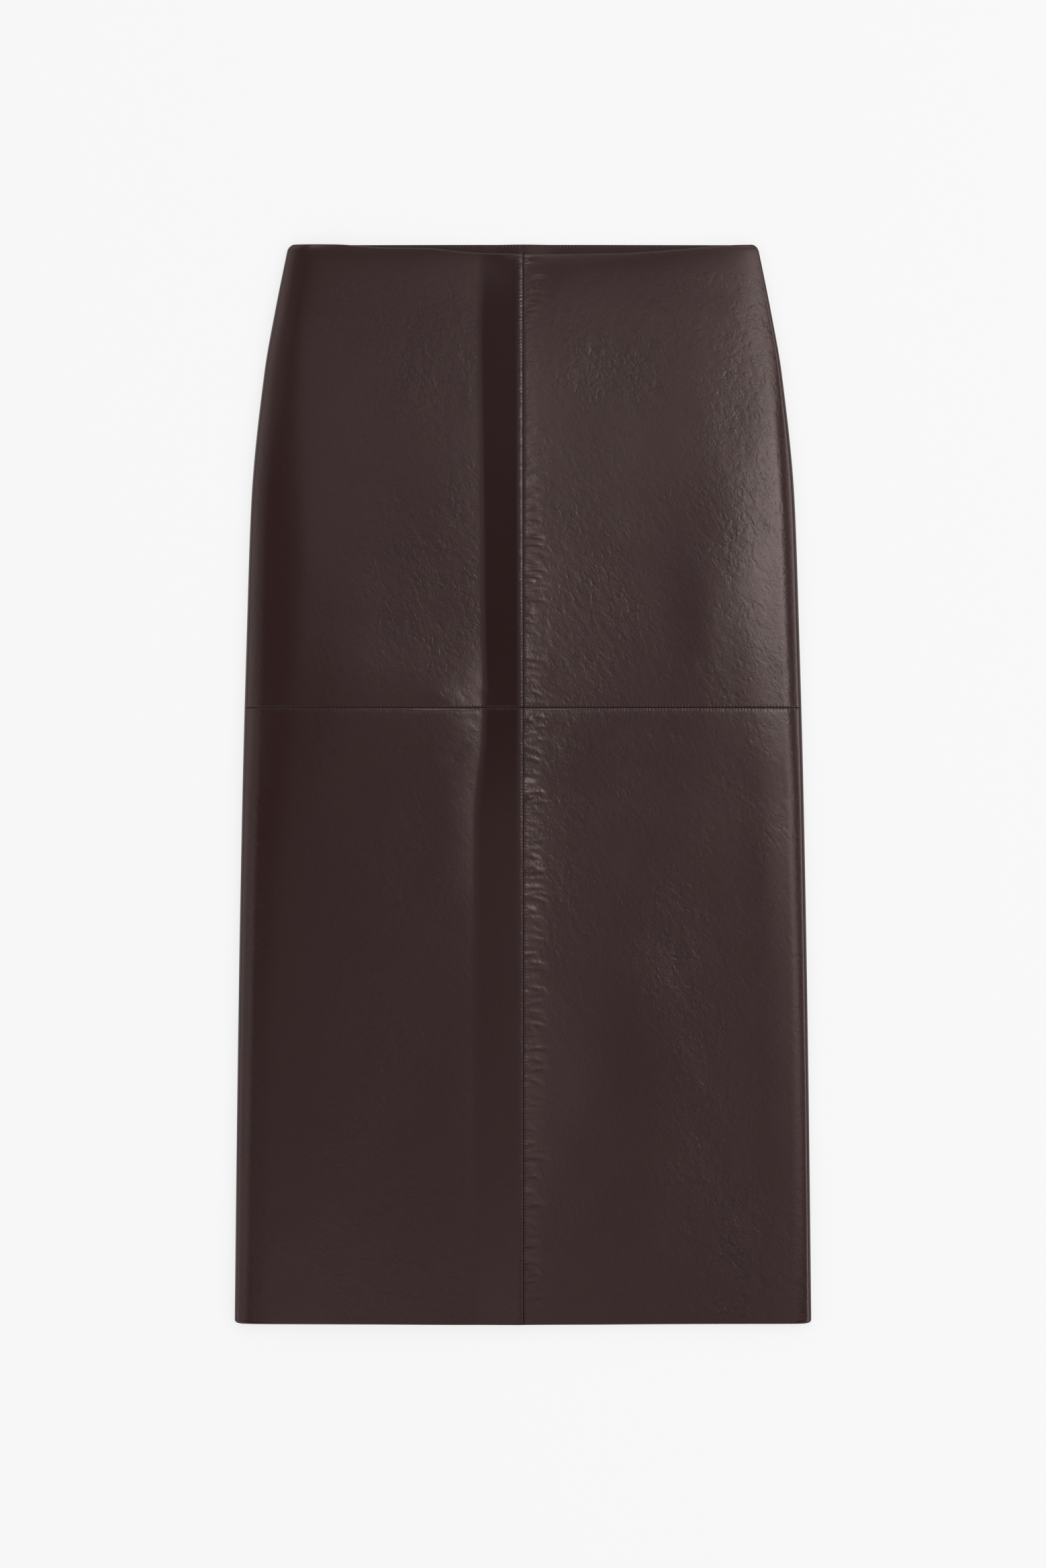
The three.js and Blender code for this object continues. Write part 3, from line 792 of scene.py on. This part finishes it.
def tubes(paths, radius, sides):
    # A round tube along each of many paths given as one array (path, point, xyz): rings square to the path,
    # shrunk at the first and last points so that both ends close
    endSize = 0.08
    aside = np.array([0.31, 0.17, 0.93])  # no path runs this way
    along = np.gradient(paths, axis=1)
    along /= np.linalg.norm(along, axis=-1, keepdims=True)
    across = np.cross(along, aside)
    across /= np.linalg.norm(across, axis=-1, keepdims=True)
    other = np.cross(along, across)
    turn = 2 * np.pi * np.arange(sides) / sides
    sizes = np.full(paths.shape[1], float(radius))
    sizes[[0, -1]] = endSize * radius
    rings = paths[:, :, None] + sizes[:, None, None] * (
        across[:, :, None] * np.cos(turn)[:, None] + other[:, :, None] * np.sin(turn)[:, None]
    )
    count, length = paths.shape[:2]
    index = np.arange(count * length * sides).reshape(count, length, sides)
    after = np.roll(index, -1, 2)
    walls = np.stack([index[:, :-1], after[:, :-1], after[:, 1:], index[:, 1:]], -1).reshape(-1, 4)
    return rings.reshape(-1, 3), walls


# Stitches that hold the facing to the waist edge, over the edge and slightly slanted
waistStitches = {
    "from": 3.0,  # from the centre seam
    "to": 168.0,
    "pitch": 2.6,
    "slant": 0.5,
    "uneven": [-0.25, 0.25],  # along the edge
    "slants": [-0.2, 0.2],
    "profile": [[3.0, 2.3], [2.6, 2.58], [1.6, 2.66], [0.6, 2.6], [-0.1, 2.2], [-0.35, 1.5]],  # down and up
    "edge": 2.0,
    "radius": 0.16,
    "sides": 5,
    "seed": 5,
}


def addWaistStitches(name):
    # The profile of one stitch, repeated along the edge both ways from the seam, each a little out of line
    rng = np.random.default_rng(waistStitches["seed"])
    half = np.arange(waistStitches["from"], waistStitches["to"], waistStitches["pitch"])
    x = np.concatenate([-half[::-1], half])
    x = x + rng.uniform(*waistStitches["uneven"], len(x))
    slant = waistStitches["slant"] + rng.uniform(*waistStitches["slants"], len(x))
    profile = np.array(waistStitches["profile"])
    paths = np.empty((len(x), len(profile), 3))
    paths[:, :, 0] = x[:, None] + slant[:, None] * np.linspace(0, 1, len(profile))
    paths[:, :, 1] = cut["length"] / 2 - profile[:, 0]
    paths[:, :, 2] = backFace(x, np.full(len(x), waistStitches["edge"]))[:, None] + profile[:, 1]
    points, quads = tubes(paths, waistStitches["radius"], waistStitches["sides"])
    piece = addMesh(name, points, facingOut(points, quads), [thread])
    print(name, len(x), "stitches")
    return piece


# The concealed zip lies inside over the back seam: woven tape, and the coil as a flattened helix
zipTape = {
    "rows": [(18.8, 22, 0.8), (22, 202, 3), (202, 205, 0.6)],
    "columns": [(-12, -9, 0.6), (-9, -3, 1.5), (-3, 3, 0.5), (3, 9, 1.5), (9, 12, 0.6)],
    "under": 1.5,  # heights of its two faces over the back's outer face
    "over": 2.2,
    "ridge": 0.35,  # beside the coil,
    "ridgeAt": 2.6,
    "ridgeSharp": 0.5,
    "rims": (0.2, 0.25, 0.2, 0.25),
}
zipCoil = {
    "from": 24.0,
    "to": 199.0,
    "pitch": 1.25,
    "half": 1.75,
    "high": 0.5,
    "wire": 0.22,  # radius
    "perTurn": 10,
    "sides": 5,
}


def addZipTape(name):
    # A flat strip with a bell-shaped ridge on each side of the coil
    levels, across = spread(zipTape["rows"]), spread(zipTape["columns"])
    x = np.repeat(across[None], len(levels), 0)
    down = np.repeat(levels[:, None], len(across), 1)
    ridge = zipTape["ridge"] * np.exp(-((np.abs(x) - zipTape["ridgeAt"]) ** 2) / zipTape["ridgeSharp"])
    y = cut["length"] / 2 - down
    outer = np.stack([x, y, backFace(x, down) + zipTape["over"] + ridge], -1)
    inner = np.stack([x, y, backFace(x, down) + zipTape["under"]], -1)
    points, quads = closedWall(outer, inner, zipTape["rims"])
    piece = addMesh(name, points, facingOut(points, quads), [tapeWeave])
    flat, area = flatSize(outer)
    print(name, "cut to", flat, "metres, area", area)
    return piece, flat, area


def addZipCoil(name):
    # Across by a cosine, up by a sine, and steadily down the seam
    turns = (zipCoil["to"] - zipCoil["from"]) / zipCoil["pitch"]
    at = np.arange(int(turns * zipCoil["perTurn"]))
    turn = 2 * np.pi * at / zipCoil["perTurn"]
    x = zipCoil["half"] * np.cos(turn)
    down = zipCoil["from"] + zipCoil["pitch"] * at / zipCoil["perTurn"]
    base = backFace(x, down) + zipTape["over"] + zipCoil["high"] + zipCoil["wire"]
    path = np.stack([x, cut["length"] / 2 - down, base + zipCoil["high"] * np.sin(turn)], -1)
    points, quads = tubes(path[None], zipCoil["wire"], zipCoil["sides"])
    piece = addMesh(name, points, facingOut(points, quads), [coilPlastic])
    print(name, int(turns), "turns")
    return piece


class Nodes:
    # A short way to lay out a node tree: each call adds one node, sets its values and links its inputs
    def __init__(self, tree):
        self.tree = tree

    def add(self, kind, values=None, links=None, **settings):
        # One node of a kind, with its settings, its inputs' values and its links
        node = self.tree.nodes.new(kind)
        for key, value in settings.items():
            setattr(node, key, value)
        for key, value in (values or {}).items():
            node.inputs[key].default_value = value
        for key, source in (links or {}).items():
            self.tree.links.new(source, node.inputs[key])
        return node

    def link(self, source, target):
        self.tree.links.new(source, target)

    def math(self, operation, first, second=None):
        # One operation on one or two terms, each a number or a socket
        node = self.add("ShaderNodeMath", operation=operation)
        for i, item in enumerate((first, second)):
            if isinstance(item, (int, float)):
                node.inputs[i].default_value = item
            elif item is not None:
                self.link(item, node.inputs[i])
        return node.outputs[0]

    def noise(self, vector, scale, detail, distortion=0.0):
        # The outputs of a noise with so many waves a metre
        values = {"Scale": scale, "Detail": detail, "Distortion": distortion}
        return self.add("ShaderNodeTexNoise", values, {"Vector": vector}).outputs

    def ramp(self, value, low, high, start=0.0, end=1.0):
        # From start to end as the value goes from low to high, along 3t^2 - 2t^3
        values = {"From Min": low, "From Max": high, "To Min": start, "To Max": end}
        node = self.add("ShaderNodeMapRange", values, {"Value": value}, interpolation_type="SMOOTHSTEP")
        return node.outputs[0]

    def mix(self, factor, dark, light):
        # The colour between two, each given as a colour or as a socket
        ends = {6: dark, 7: light}
        values = {key: end for key, end in ends.items() if isinstance(end, tuple)}
        links = {key: end for key, end in ends.items() if key not in values}
        return self.add("ShaderNodeMix", values, {"Factor": factor, **links}, data_type="RGBA").outputs[2]

    def bump(self, height, high, strength):
        # A normal from a height, where a height of 1 stands for so many metres
        values = {"Strength": strength, "Distance": high}
        return self.add("ShaderNodeBump", values, {"Height": height}).outputs[0]

    def group(self, tree, links, values=None):
        # The outputs of a node group placed in this tree
        return self.add("ShaderNodeGroup", values, links, node_tree=tree).outputs


def newGroup(name, inputs, outputs):
    # An empty node group with named inputs, by kind and first value, and named outputs by kind
    group = bpy.data.node_groups.new(name, "ShaderNodeTree")
    for key, (kind, value) in inputs.items():
        socket = group.interface.new_socket(key, in_out="INPUT", socket_type=kind)
        if value is not None:
            socket.default_value = value
    for key, kind in outputs.items():
        group.interface.new_socket(key, in_out="OUTPUT", socket_type=kind)
    entry = group.nodes.new("NodeGroupInput")
    leave = group.nodes.new("NodeGroupOutput")
    return group, Nodes(group), entry.outputs, leave.inputs


# The hide's grain: sizes are cells or waves a metre, and heights are shares of the bump's height
grainForm = {
    "bend": 0.0034,  # metres that the cells are bent by
    "bends": 240.0,
    "slant": -58,  # degrees
    "stretch": 1.5,
    "small": (400.0, 300.0),  # cells, and the noise that breaks their edges off
    "large": (190.0, 130.0),
    "folds": 150.0,
    "pores": 2400.0,
    "tones": 9.0,
    "domeFull": 0.42,  # distance from a cell's edge where its dome is full
    "creaseEnds": 0.2,
    "breaks": (0.42, 0.62),
    "domesHigh": 0.2,
    "bossesHigh": 0.24,
    "creasesDeep": 0.15,
    "wrinklesDeep": 0.27,
    "foldsHigh": 1.9,
    "poresHigh": 0.05,
    # how strongly painted shade darkens the wrinkles and the creases
    "wrinkleShade": 0.9,
    "creaseShade": 0.95,
    "mattAbove": 0.35,  # where the painted shade is stronger than this, the hide is matt too
    "matt": 0.4,
}


def brokenCells(nodes, bent, straight, cells, breaks):
    # Domes from 0 at the edges of bent cells to 1, and creases along the edges, broken off by a noise
    cell = nodes.add("ShaderNodeTexVoronoi", {"Scale": cells}, {"Vector": bent}, feature="DISTANCE_TO_EDGE")
    fromEdge = cell.outputs["Distance"]
    domes = nodes.ramp(fromEdge, 0.0, grainForm["domeFull"])
    narrow = nodes.ramp(fromEdge, 0.0, grainForm["creaseEnds"], 1.0, 0.0)
    broken = nodes.ramp(nodes.noise(straight, breaks, 2.0)["Fac"], *grainForm["breaks"])
    return nodes.math("MULTIPLY", domes, broken), nodes.math("MULTIPLY", narrow, broken)


def grainedHide():
    # Grained hide: low domes between short broken creases, which follow the edges of bent cells in two sizes,
    # then slanting folds, pores and slow changes of tone. Painted shade darkens the creases, and also the
    # seams' grooves, the front's waist edge and the pressed strip where its mask says.
    inputs = {
        "Vector": ("NodeSocketVector", None),
        "Grain": ("NodeSocketFloat", 0.5),
        "PaintedShade": ("NodeSocketFloat", 0.0),
        "Dark": ("NodeSocketColor", (0.02, 0.009, 0.009, 1)),
        "Light": ("NodeSocketColor", (0.03, 0.014, 0.013, 1)),
        "Deep": ("NodeSocketColor", (0.006, 0.002, 0.002, 1)),
        "Smooth": ("NodeSocketFloat", 0.2),
        "Rough": ("NodeSocketFloat", 0.4),
    }
    outputs = {"Color": "NodeSocketColor", "Roughness": "NodeSocketFloat", "Height": "NodeSocketFloat"}
    group, nodes, entry, leave = newGroup("grainedHide", inputs, outputs)
    where, grain, paintedShade = entry["Vector"], entry["Grain"], entry["PaintedShade"]

    def vectorMath(operation, values, links):
        return nodes.add("ShaderNodeVectorMath", values, links, operation=operation).outputs[0]

    def times(first, second):
        return nodes.math("MULTIPLY", first, second)

    def plus(first, second):
        return nodes.math("ADD", first, second)

    warp = nodes.noise(where, grainForm["bends"], 2.0)["Color"]
    shift = vectorMath("SUBTRACT", {1: (0.5, 0.5, 0.5)}, {0: warp})
    small = vectorMath("SCALE", {"Scale": grainForm["bend"]}, {0: shift})
    bent = vectorMath("ADD", None, {0: where, 1: small})
    turned = {"Rotation": (0, 0, np.radians(grainForm["slant"])), "Scale": (grainForm["stretch"], 1.0, 1.0)}
    slanted = nodes.add("ShaderNodeMapping", turned, {"Vector": bent}, vector_type="TEXTURE").outputs[0]
    domes, creases = brokenCells(nodes, slanted, where, *grainForm["small"])
    bosses, wrinkles = brokenCells(nodes, slanted, where, *grainForm["large"])
    folds = nodes.math("SUBTRACT", nodes.noise(slanted, grainForm["folds"], 2.5, 0.5)["Fac"], 0.5)
    pores = nodes.noise(where, grainForm["pores"], 2.0)["Fac"]
    tone = nodes.noise(where, grainForm["tones"], 4.0)["Fac"]

    raised = plus(times(domes, grainForm["domesHigh"]), times(bosses, grainForm["bossesHigh"]))
    sunk = plus(times(creases, grainForm["creasesDeep"]), times(wrinkles, grainForm["wrinklesDeep"]))
    folded = plus(nodes.math("SUBTRACT", raised, sunk), times(folds, grainForm["foldsHigh"]))
    nodes.link(plus(times(folded, grain), times(pores, grainForm["poresHigh"])), leave["Height"])

    # Painted shade: the colour goes towards the shadow colour in the creases, and wherever the painted shade
    # mask is higher
    creased = nodes.math("MAXIMUM", creases, times(wrinkles, grainForm["wrinkleShade"]))
    depth = nodes.math("MAXIMUM", times(times(creased, grain), grainForm["creaseShade"]), paintedShade)
    skin = nodes.mix(tone, entry["Dark"], entry["Light"])
    nodes.link(nodes.mix(depth, skin, entry["Deep"]), leave["Color"])

    span = nodes.math("SUBTRACT", entry["Rough"], entry["Smooth"])
    worn = plus(entry["Smooth"], times(span, times(grain, plus(tone, 0.5))))
    inGroove = nodes.math("MAXIMUM", nodes.math("SUBTRACT", paintedShade, grainForm["mattAbove"]), 0.0)
    nodes.link(plus(worn, times(inGroove, grainForm["matt"])), leave["Roughness"])
    return group


stitchForm = {"pitch": 0.0025, "uneven": 210.0, "drift": 9.0}  # metres, waves of noise a metre, and radians


def stitchPull():
    # Where thread pulls the hide: a sine wave along the seam under a mask, made uneven by noise
    inputs = {
        "Vector": ("NodeSocketVector", None),
        "Along": ("NodeSocketFloat", 0.0),
        "Mask": ("NodeSocketFloat", 0.0),
        "Pitch": ("NodeSocketFloat", stitchForm["pitch"]),
    }
    group, nodes, entry, leave = newGroup("stitchPull", inputs, {"Height": "NodeSocketFloat"})
    turns = nodes.math("DIVIDE", entry["Along"], entry["Pitch"])
    uneven = nodes.noise(entry["Vector"], stitchForm["uneven"], 1.0)["Fac"]
    drift = nodes.math("MULTIPLY", uneven, stitchForm["drift"])
    phase = nodes.math("ADD", nodes.math("MULTIPLY", turns, 2 * np.pi), drift)
    strength = nodes.math("MULTIPLY", entry["Mask"], uneven)
    nodes.link(nodes.math("MULTIPLY", nodes.math("SINE", phase), strength), leave["Height"])
    return group


def crossWeave():
    # Plain weave: the product of two sine waves at right angles, and painted shade in the gaps, where the
    # colour goes to the darker one as the weave gets low
    inputs = {
        "Vector": ("NodeSocketVector", None),
        "Pitch": ("NodeSocketFloat", 0.0006),
        "Dark": ("NodeSocketColor", (0.01, 0.006, 0.006, 1)),
        "Light": ("NodeSocketColor", (0.02, 0.012, 0.012, 1)),
    }
    outputs = {"Color": "NodeSocketColor", "Height": "NodeSocketFloat"}
    group, nodes, entry, leave = newGroup("crossWeave", inputs, outputs)
    split = nodes.add("ShaderNodeSeparateXYZ", None, {0: entry["Vector"]})
    rate = nodes.math("DIVIDE", 2 * np.pi, entry["Pitch"])
    waves = [nodes.math("SINE", nodes.math("MULTIPLY", split.outputs[axis], rate)) for axis in ("X", "Y")]
    height = nodes.math("ADD", nodes.math("MULTIPLY", nodes.math("MULTIPLY", *waves), 0.5), 0.5)
    nodes.link(height, leave["Height"])
    nodes.link(nodes.mix(height, entry["Dark"], entry["Light"]), leave["Color"])
    return group


hideGroup = grainedHide()
pullGroup = stitchPull()
weaveGroup = crossWeave()


def newMaterial(name):
    # A material of one Principled shader, with nothing linked to it yet
    material = bpy.data.materials.new(name)
    material.use_nodes = True
    material.node_tree.nodes.clear()
    nodes = Nodes(material.node_tree)
    shader = nodes.add("ShaderNodeBsdfPrincipled")
    nodes.add("ShaderNodeOutputMaterial", None, {"Surface": shader.outputs[0]})
    return material, nodes, shader


def setSockets(shader, values):
    # Values that are the same all over the surface, on the shader's own sockets
    for key, value in values.items():
        shader.inputs[key].default_value = value


def place(nodes):
    # The pattern's coordinates: metres in the skirt's own frame
    return nodes.add("ShaderNodeTexCoord").outputs["Object"]


outerSkin = {
    "dark": (0.0188, 0.0070, 0.0076, 1),
    "light": (0.0245, 0.0098, 0.0102, 1),
    # the colour of painted shade in creases, seam grooves, the front's waist edge and the pressed strip
    "deep": (0.0095, 0.0034, 0.0037, 1),
    "smooth": 0.17,
    "rough": 0.25,
    "tint": (1.0, 0.84, 0.80, 1),
    "gloss": 0.5,
    "bumpHigh": 0.00022,
    "stitchHigh": 0.3,
}
# The facing's hide: the outer hide made rougher and less glossy, and darker, which is painted shade inside
# the waist
shadedFacingSkin = {
    **outerSkin,
    "dark": (0.0165, 0.0066, 0.0070, 1),
    "light": (0.022, 0.0095, 0.0098, 1),
    "smooth": 0.4,
    "rough": 0.5,
    "gloss": 0.3,
}


def skirtLeather(name, skin):
    # Grained hide: its height is the grain's plus the thread's pull along both seams
    material, nodes, shader = newMaterial(name)
    where = place(nodes)
    split = nodes.add("ShaderNodeSeparateXYZ", None, {0: where})
    # The attributes: where the grain stands out, where painted shade darkens the hide, and the two seams'
    # pull
    masks = {
        key: nodes.add("ShaderNodeAttribute", attribute_name=key).outputs["Fac"]
        for key in ("grain", "paintedShade", "centreSeam", "crossSeam")
    }
    values = {key.capitalize(): skin[key] for key in ("dark", "light", "deep", "smooth", "rough")}
    links = {"Vector": where, "Grain": masks["grain"], "PaintedShade": masks["paintedShade"]}
    hide = nodes.group(hideGroup, links, values)
    pulls = []
    for mask, axis in (("centreSeam", "Y"), ("crossSeam", "X")):
        links = {"Vector": where, "Along": split.outputs[axis], "Mask": masks[mask]}
        pulls.append(nodes.math("MULTIPLY", nodes.group(pullGroup, links)["Height"], skin["stitchHigh"]))
    height = nodes.math("ADD", hide["Height"], nodes.math("ADD", *pulls))
    nodes.link(hide["Color"], shader.inputs["Base Color"])
    nodes.link(hide["Roughness"], shader.inputs["Roughness"])
    nodes.link(nodes.bump(height, skin["bumpHigh"], 1.0), shader.inputs["Normal"])
    setSockets(shader, {"Specular Tint": skin["tint"], "Specular IOR Level": skin["gloss"]})
    return material


innerSkin = {
    "dark": (0.045, 0.024, 0.020, 1),
    "light": (0.085, 0.050, 0.041, 1),
    "nap": 900.0,
    "patches": 30.0,
    "bumpHigh": 0.0003,
    "rough": 0.92,
    "sheen": 0.15,
}


def suede():
    # The hide's flesh side: short nap in two sizes of noise, matt and a little lighter
    material, nodes, shader = newMaterial("fleshSide")
    where = place(nodes)
    nap = nodes.noise(where, innerSkin["nap"], 4.0)["Fac"]
    patches = nodes.noise(where, innerSkin["patches"], 3.0)["Fac"]
    both = nodes.math("MULTIPLY", nodes.math("ADD", nap, patches), 0.5)
    nodes.link(nodes.mix(both, innerSkin["dark"], innerSkin["light"]), shader.inputs["Base Color"])
    nodes.link(nodes.bump(nap, innerSkin["bumpHigh"], 0.8), shader.inputs["Normal"])
    setSockets(shader, {"Roughness": innerSkin["rough"], "Sheen Weight": innerSkin["sheen"]})
    return material


# the dark colour is painted shade in the weave's gaps
tapeLook = {
    "dark": (0.008, 0.005, 0.005, 1),
    "light": (0.024, 0.015, 0.014, 1),
    "pitch": 0.0006,
    "bumpHigh": 0.00012,
    "rough": 0.85,
}


def wovenTape():
    # Plain weave, matt
    material, nodes, shader = newMaterial("tapeWeave")
    values = {key.capitalize(): tapeLook[key] for key in ("dark", "light", "pitch")}
    weave = nodes.group(weaveGroup, {"Vector": place(nodes)}, values)
    nodes.link(weave["Color"], shader.inputs["Base Color"])
    nodes.link(nodes.bump(weave["Height"], tapeLook["bumpHigh"], 0.9), shader.inputs["Normal"])
    setSockets(shader, {"Roughness": tapeLook["rough"]})
    return material


threadLook = {
    "dark": (0.05, 0.026, 0.025, 1),
    "light": (0.10, 0.056, 0.052, 1),
    "spots": 1500.0,
    "rough": (0.55, 0.7),
    "metallic": 0.0,
    "bumpHigh": 0.00003,
}
coilLook = {
    "dark": (0.012, 0.007, 0.007, 1),
    "light": (0.022, 0.013, 0.012, 1),
    "spots": 400.0,
    "rough": (0.3, 0.42),
    "metallic": 0.0,
    "bumpHigh": 0.00003,
}
metalLook = {
    "dark": (0.06, 0.042, 0.030, 1),
    "light": (0.20, 0.15, 0.105, 1),
    "spots": 700.0,
    "rough": (0.24, 0.44),
    "metallic": 1.0,
    "bumpHigh": 0.00003,
}


def spottedFinish(name, look):
    # Base colour, roughness and bump from one noise, for thread, coil and metal
    material, nodes, shader = newMaterial(name)
    spots = nodes.noise(place(nodes), look["spots"], 3.0)["Fac"]
    low, high = look["rough"]
    rough = nodes.math("ADD", nodes.math("MULTIPLY", spots, high - low), low)
    nodes.link(nodes.mix(spots, look["dark"], look["light"]), shader.inputs["Base Color"])
    nodes.link(rough, shader.inputs["Roughness"])
    nodes.link(nodes.bump(spots, look["bumpHigh"], 0.6), shader.inputs["Normal"])
    setSockets(shader, {"Metallic": look["metallic"]})
    return material


leather = skirtLeather("brownLeather", outerSkin)
facingLeather = skirtLeather("facingLeather", shadedFacingSkin)
fleshSide = suede()
tapeWeave = wovenTape()
thread = spottedFinish("thread", threadLook)
coilPlastic = spottedFinish("coilPlastic", coilLook)
antiqueMetal = spottedFinish("antiqueMetal", metalLook)
print("materials done")

for hand, side in (("left", 1), ("right", -1)):
    for face in ("back", "front"):
        for level in ("upper", "lower"):
            node = f"{face}_{level}_{hand}"
            piece, flat, area = addPanel("leather_" + node, face == "front", level == "upper", side)
            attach(piece, "skirt")
            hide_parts(node)
print("panels done")

stitches = addWaistStitches("waist_stitches")
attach(stitches, "skirt")
for hand, side in (("left", 1), ("right", -1)):
    piece, flat, area = addFacing("facing_back_" + hand, side)
    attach(piece, "skirt")
    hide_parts("back_facing_" + hand)

tape, tapeFlat, tapeArea = addZipTape("zip_tape_woven")
coil = addZipCoil("zip_coil")
for piece in (tape, coil):
    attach(piece, "skirt")
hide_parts("zip_tape")
for node in ("zip_slider", "zip_pull"):
    solid = bpy.data.objects[node]
    for i in range(len(solid.material_slots)):
        solid.material_slots[i].material = antiqueMetal
print("facing and zip done")

view = {
    "frameHigh": 1226.4,  # millimetres of the surface that the picture's height takes in
    "lens": 100.0,
    "sensor": 36.0,
    "surface": 3.0,  # its height
    "farthest": 50.0,  # metres
}


def addCamera():
    # Straight above the skirt's middle, as high as the picture's height times the lens over the sensor
    data = bpy.data.cameras.new("camera")
    data.lens = view["lens"]
    data.sensor_width = view["sensor"]
    data.clip_end = view["farthest"]
    camera = bpy.data.objects.new("camera", data)
    bpy.context.scene.collection.objects.link(camera)
    camera.location = (0, 0, (view["frameHigh"] * view["lens"] / view["sensor"] + view["surface"]) * mm)
    bpy.context.scene.camera = camera


paleFloor = {"down": 0.3, "half": 12000.0, "grey": 0.16, "glow": 0.755, "rough": 0.9}


def addFloor():
    # One wide square just under the skirt, matt and softly glowing
    size = paleFloor["half"]
    corners = np.array([[-size, -size], [size, -size], [size, size], [-size, size]])
    points = np.column_stack([corners, np.full(4, -paleFloor["down"])])
    material, _, shader = newMaterial("paleFloor")
    setSockets(shader, {
        "Base Color": (*[paleFloor["grey"]] * 3, 1),
        "Roughness": paleFloor["rough"],
        "Specular IOR Level": 0.0,
        "Emission Color": (1, 1, 1, 1),
        "Emission Strength": paleFloor["glow"],
    })
    floor = addMesh("floor", points, np.array([[0, 1, 2, 3]]), [material])


# Flat softboxes, by the metres that each covers, and two turned ones that light the rolled sides
boxesUp = 4.0  # metres over the floor
softboxes = {
    "leftUpper": {"x": (-0.90, -0.02), "y": (0.30, 1.12), "radiance": 0.45},
    "leftLower": {"x": (-0.90, -0.02), "y": (-0.90, 0.28), "radiance": 0.25},
    "leftEnd": {"x": (-0.90, -0.02), "y": (-1.30, -0.92), "radiance": 0.75},
    "rightUpper": {"x": (0.02, 0.80), "y": (0.50, 1.12), "radiance": 0.72},
    "rightNear": {"x": (0.02, 0.40), "y": (0.02, 0.48), "radiance": 0.25},
    "rightMiddle": {"x": (0.42, 0.80), "y": (0.02, 0.48), "radiance": 0.9},
    "rightLower": {"x": (0.02, 0.50), "y": (-0.90, 0.0), "radiance": 0.30},
    "rightOuter": {"x": (0.52, 1.10), "y": (-0.90, 0.0), "radiance": 0.62},
    "rightEnd": {"x": (0.02, 1.00), "y": (-1.30, -0.92), "radiance": 0.48},
    "keyTop": {"x": (0.82, 1.80), "y": (0.82, 1.30), "radiance": 2.7},
    "key": {"x": (0.82, 1.50), "y": (0.32, 0.80), "radiance": 5.1},
    "keyLow": {"x": (0.82, 1.50), "y": (0.10, 0.30), "radiance": 3.7},
    "low": {"x": (1.12, 1.90), "y": (-0.28, 0.08), "radiance": 2.0},
    "lowEnd": {"x": (1.12, 1.90), "y": (-0.80, -0.30), "radiance": 1.0},
    "leftHip": {"x": (-1.90, -1.30), "y": (0.70, 1.30), "radiance": 0.32},
    "leftFoot": {"x": (-1.68, -0.92), "y": (-1.30, -0.35), "radiance": 0.2},
    "farLeft": {"x": (-2.60, -1.70), "y": (-1.20, 0.00), "radiance": 0.55},
    "farLeftUpper": {"x": (-2.60, -1.70), "y": (0.02, 1.20), "radiance": 0.2},
    "top": {"x": (-1.00, 1.20), "y": (1.70, 2.30), "radiance": 2.5},
}
sideLights = {
    "sideRight": {"at": (3.0, 0.0, 2.6), "size": (1.6, 4.0), "turn": 49, "radiance": 1.6},
    "sideLeft": {"at": (-4.0, 0.0, 1.4), "size": (1.2, 4.0), "turn": -70, "radiance": 0.32},
}


def addAreaLight(name, at, size, turn, radiance):
    # Cycles spreads an area light's watts so that its radiance is watts / (4 x area)
    data = bpy.data.lights.new(name, "AREA")
    data.shape = "RECTANGLE"
    data.size, data.size_y = size
    data.energy = radiance * 4 * size[0] * size[1]
    light = bpy.data.objects.new(name, data)
    light.location = at
    light.rotation_euler = (0, np.radians(turn), 0)
    light.visible_camera = False
    bpy.context.scene.collection.objects.link(light)


def addLights():
    # Each softbox lies over the middle of what it covers
    for name, box in softboxes.items():
        at = (sum(box["x"]) / 2, sum(box["y"]) / 2, boxesUp)
        size = (box["x"][1] - box["x"][0], box["y"][1] - box["y"][0])
        addAreaLight(name, at, size, 0, box["radiance"])
    for name, box in sideLights.items():
        addAreaLight(name, box["at"], box["size"], box["turn"], box["radiance"])


# The sky's strength: two ramps, each from one height on the unit sphere to another, and what the camera sees
skyLight = {"low": (0.15, 0.45, 0.4, 1.25), "high": (0.72, 0.93, 1.25, 0.03), "seen": 0.94}


def addWorld():
    # Dark overhead, pale lower down and dimmer at the horizon, by the lower of the two ramps, and plain pale
    # where the camera looks past the floor
    world = bpy.data.worlds.new("studio")
    bpy.context.scene.world = world
    world.use_nodes = True
    world.node_tree.nodes.clear()
    nodes = Nodes(world.node_tree)
    direction = nodes.add("ShaderNodeTexCoord").outputs["Generated"]
    up = nodes.add("ShaderNodeSeparateXYZ", None, {0: direction}).outputs["Z"]
    lower = nodes.math("MINIMUM", nodes.ramp(up, *skyLight["low"]), nodes.ramp(up, *skyLight["high"]))
    isSeen = nodes.add("ShaderNodeLightPath").outputs["Is Camera Ray"]
    strength = nodes.add("ShaderNodeMix", {3: skyLight["seen"]}, {0: isSeen, 2: lower}, data_type="FLOAT")
    shade = nodes.add("ShaderNodeBackground", {"Color": (1, 1, 1, 1)}, {"Strength": strength.outputs[0]})
    nodes.add("ShaderNodeOutputWorld", None, {"Surface": shade.outputs[0]})


addCamera()
addFloor()
addLights()
addWorld()
bpy.context.scene.view_settings.view_transform = "Standard"
print("stage done")
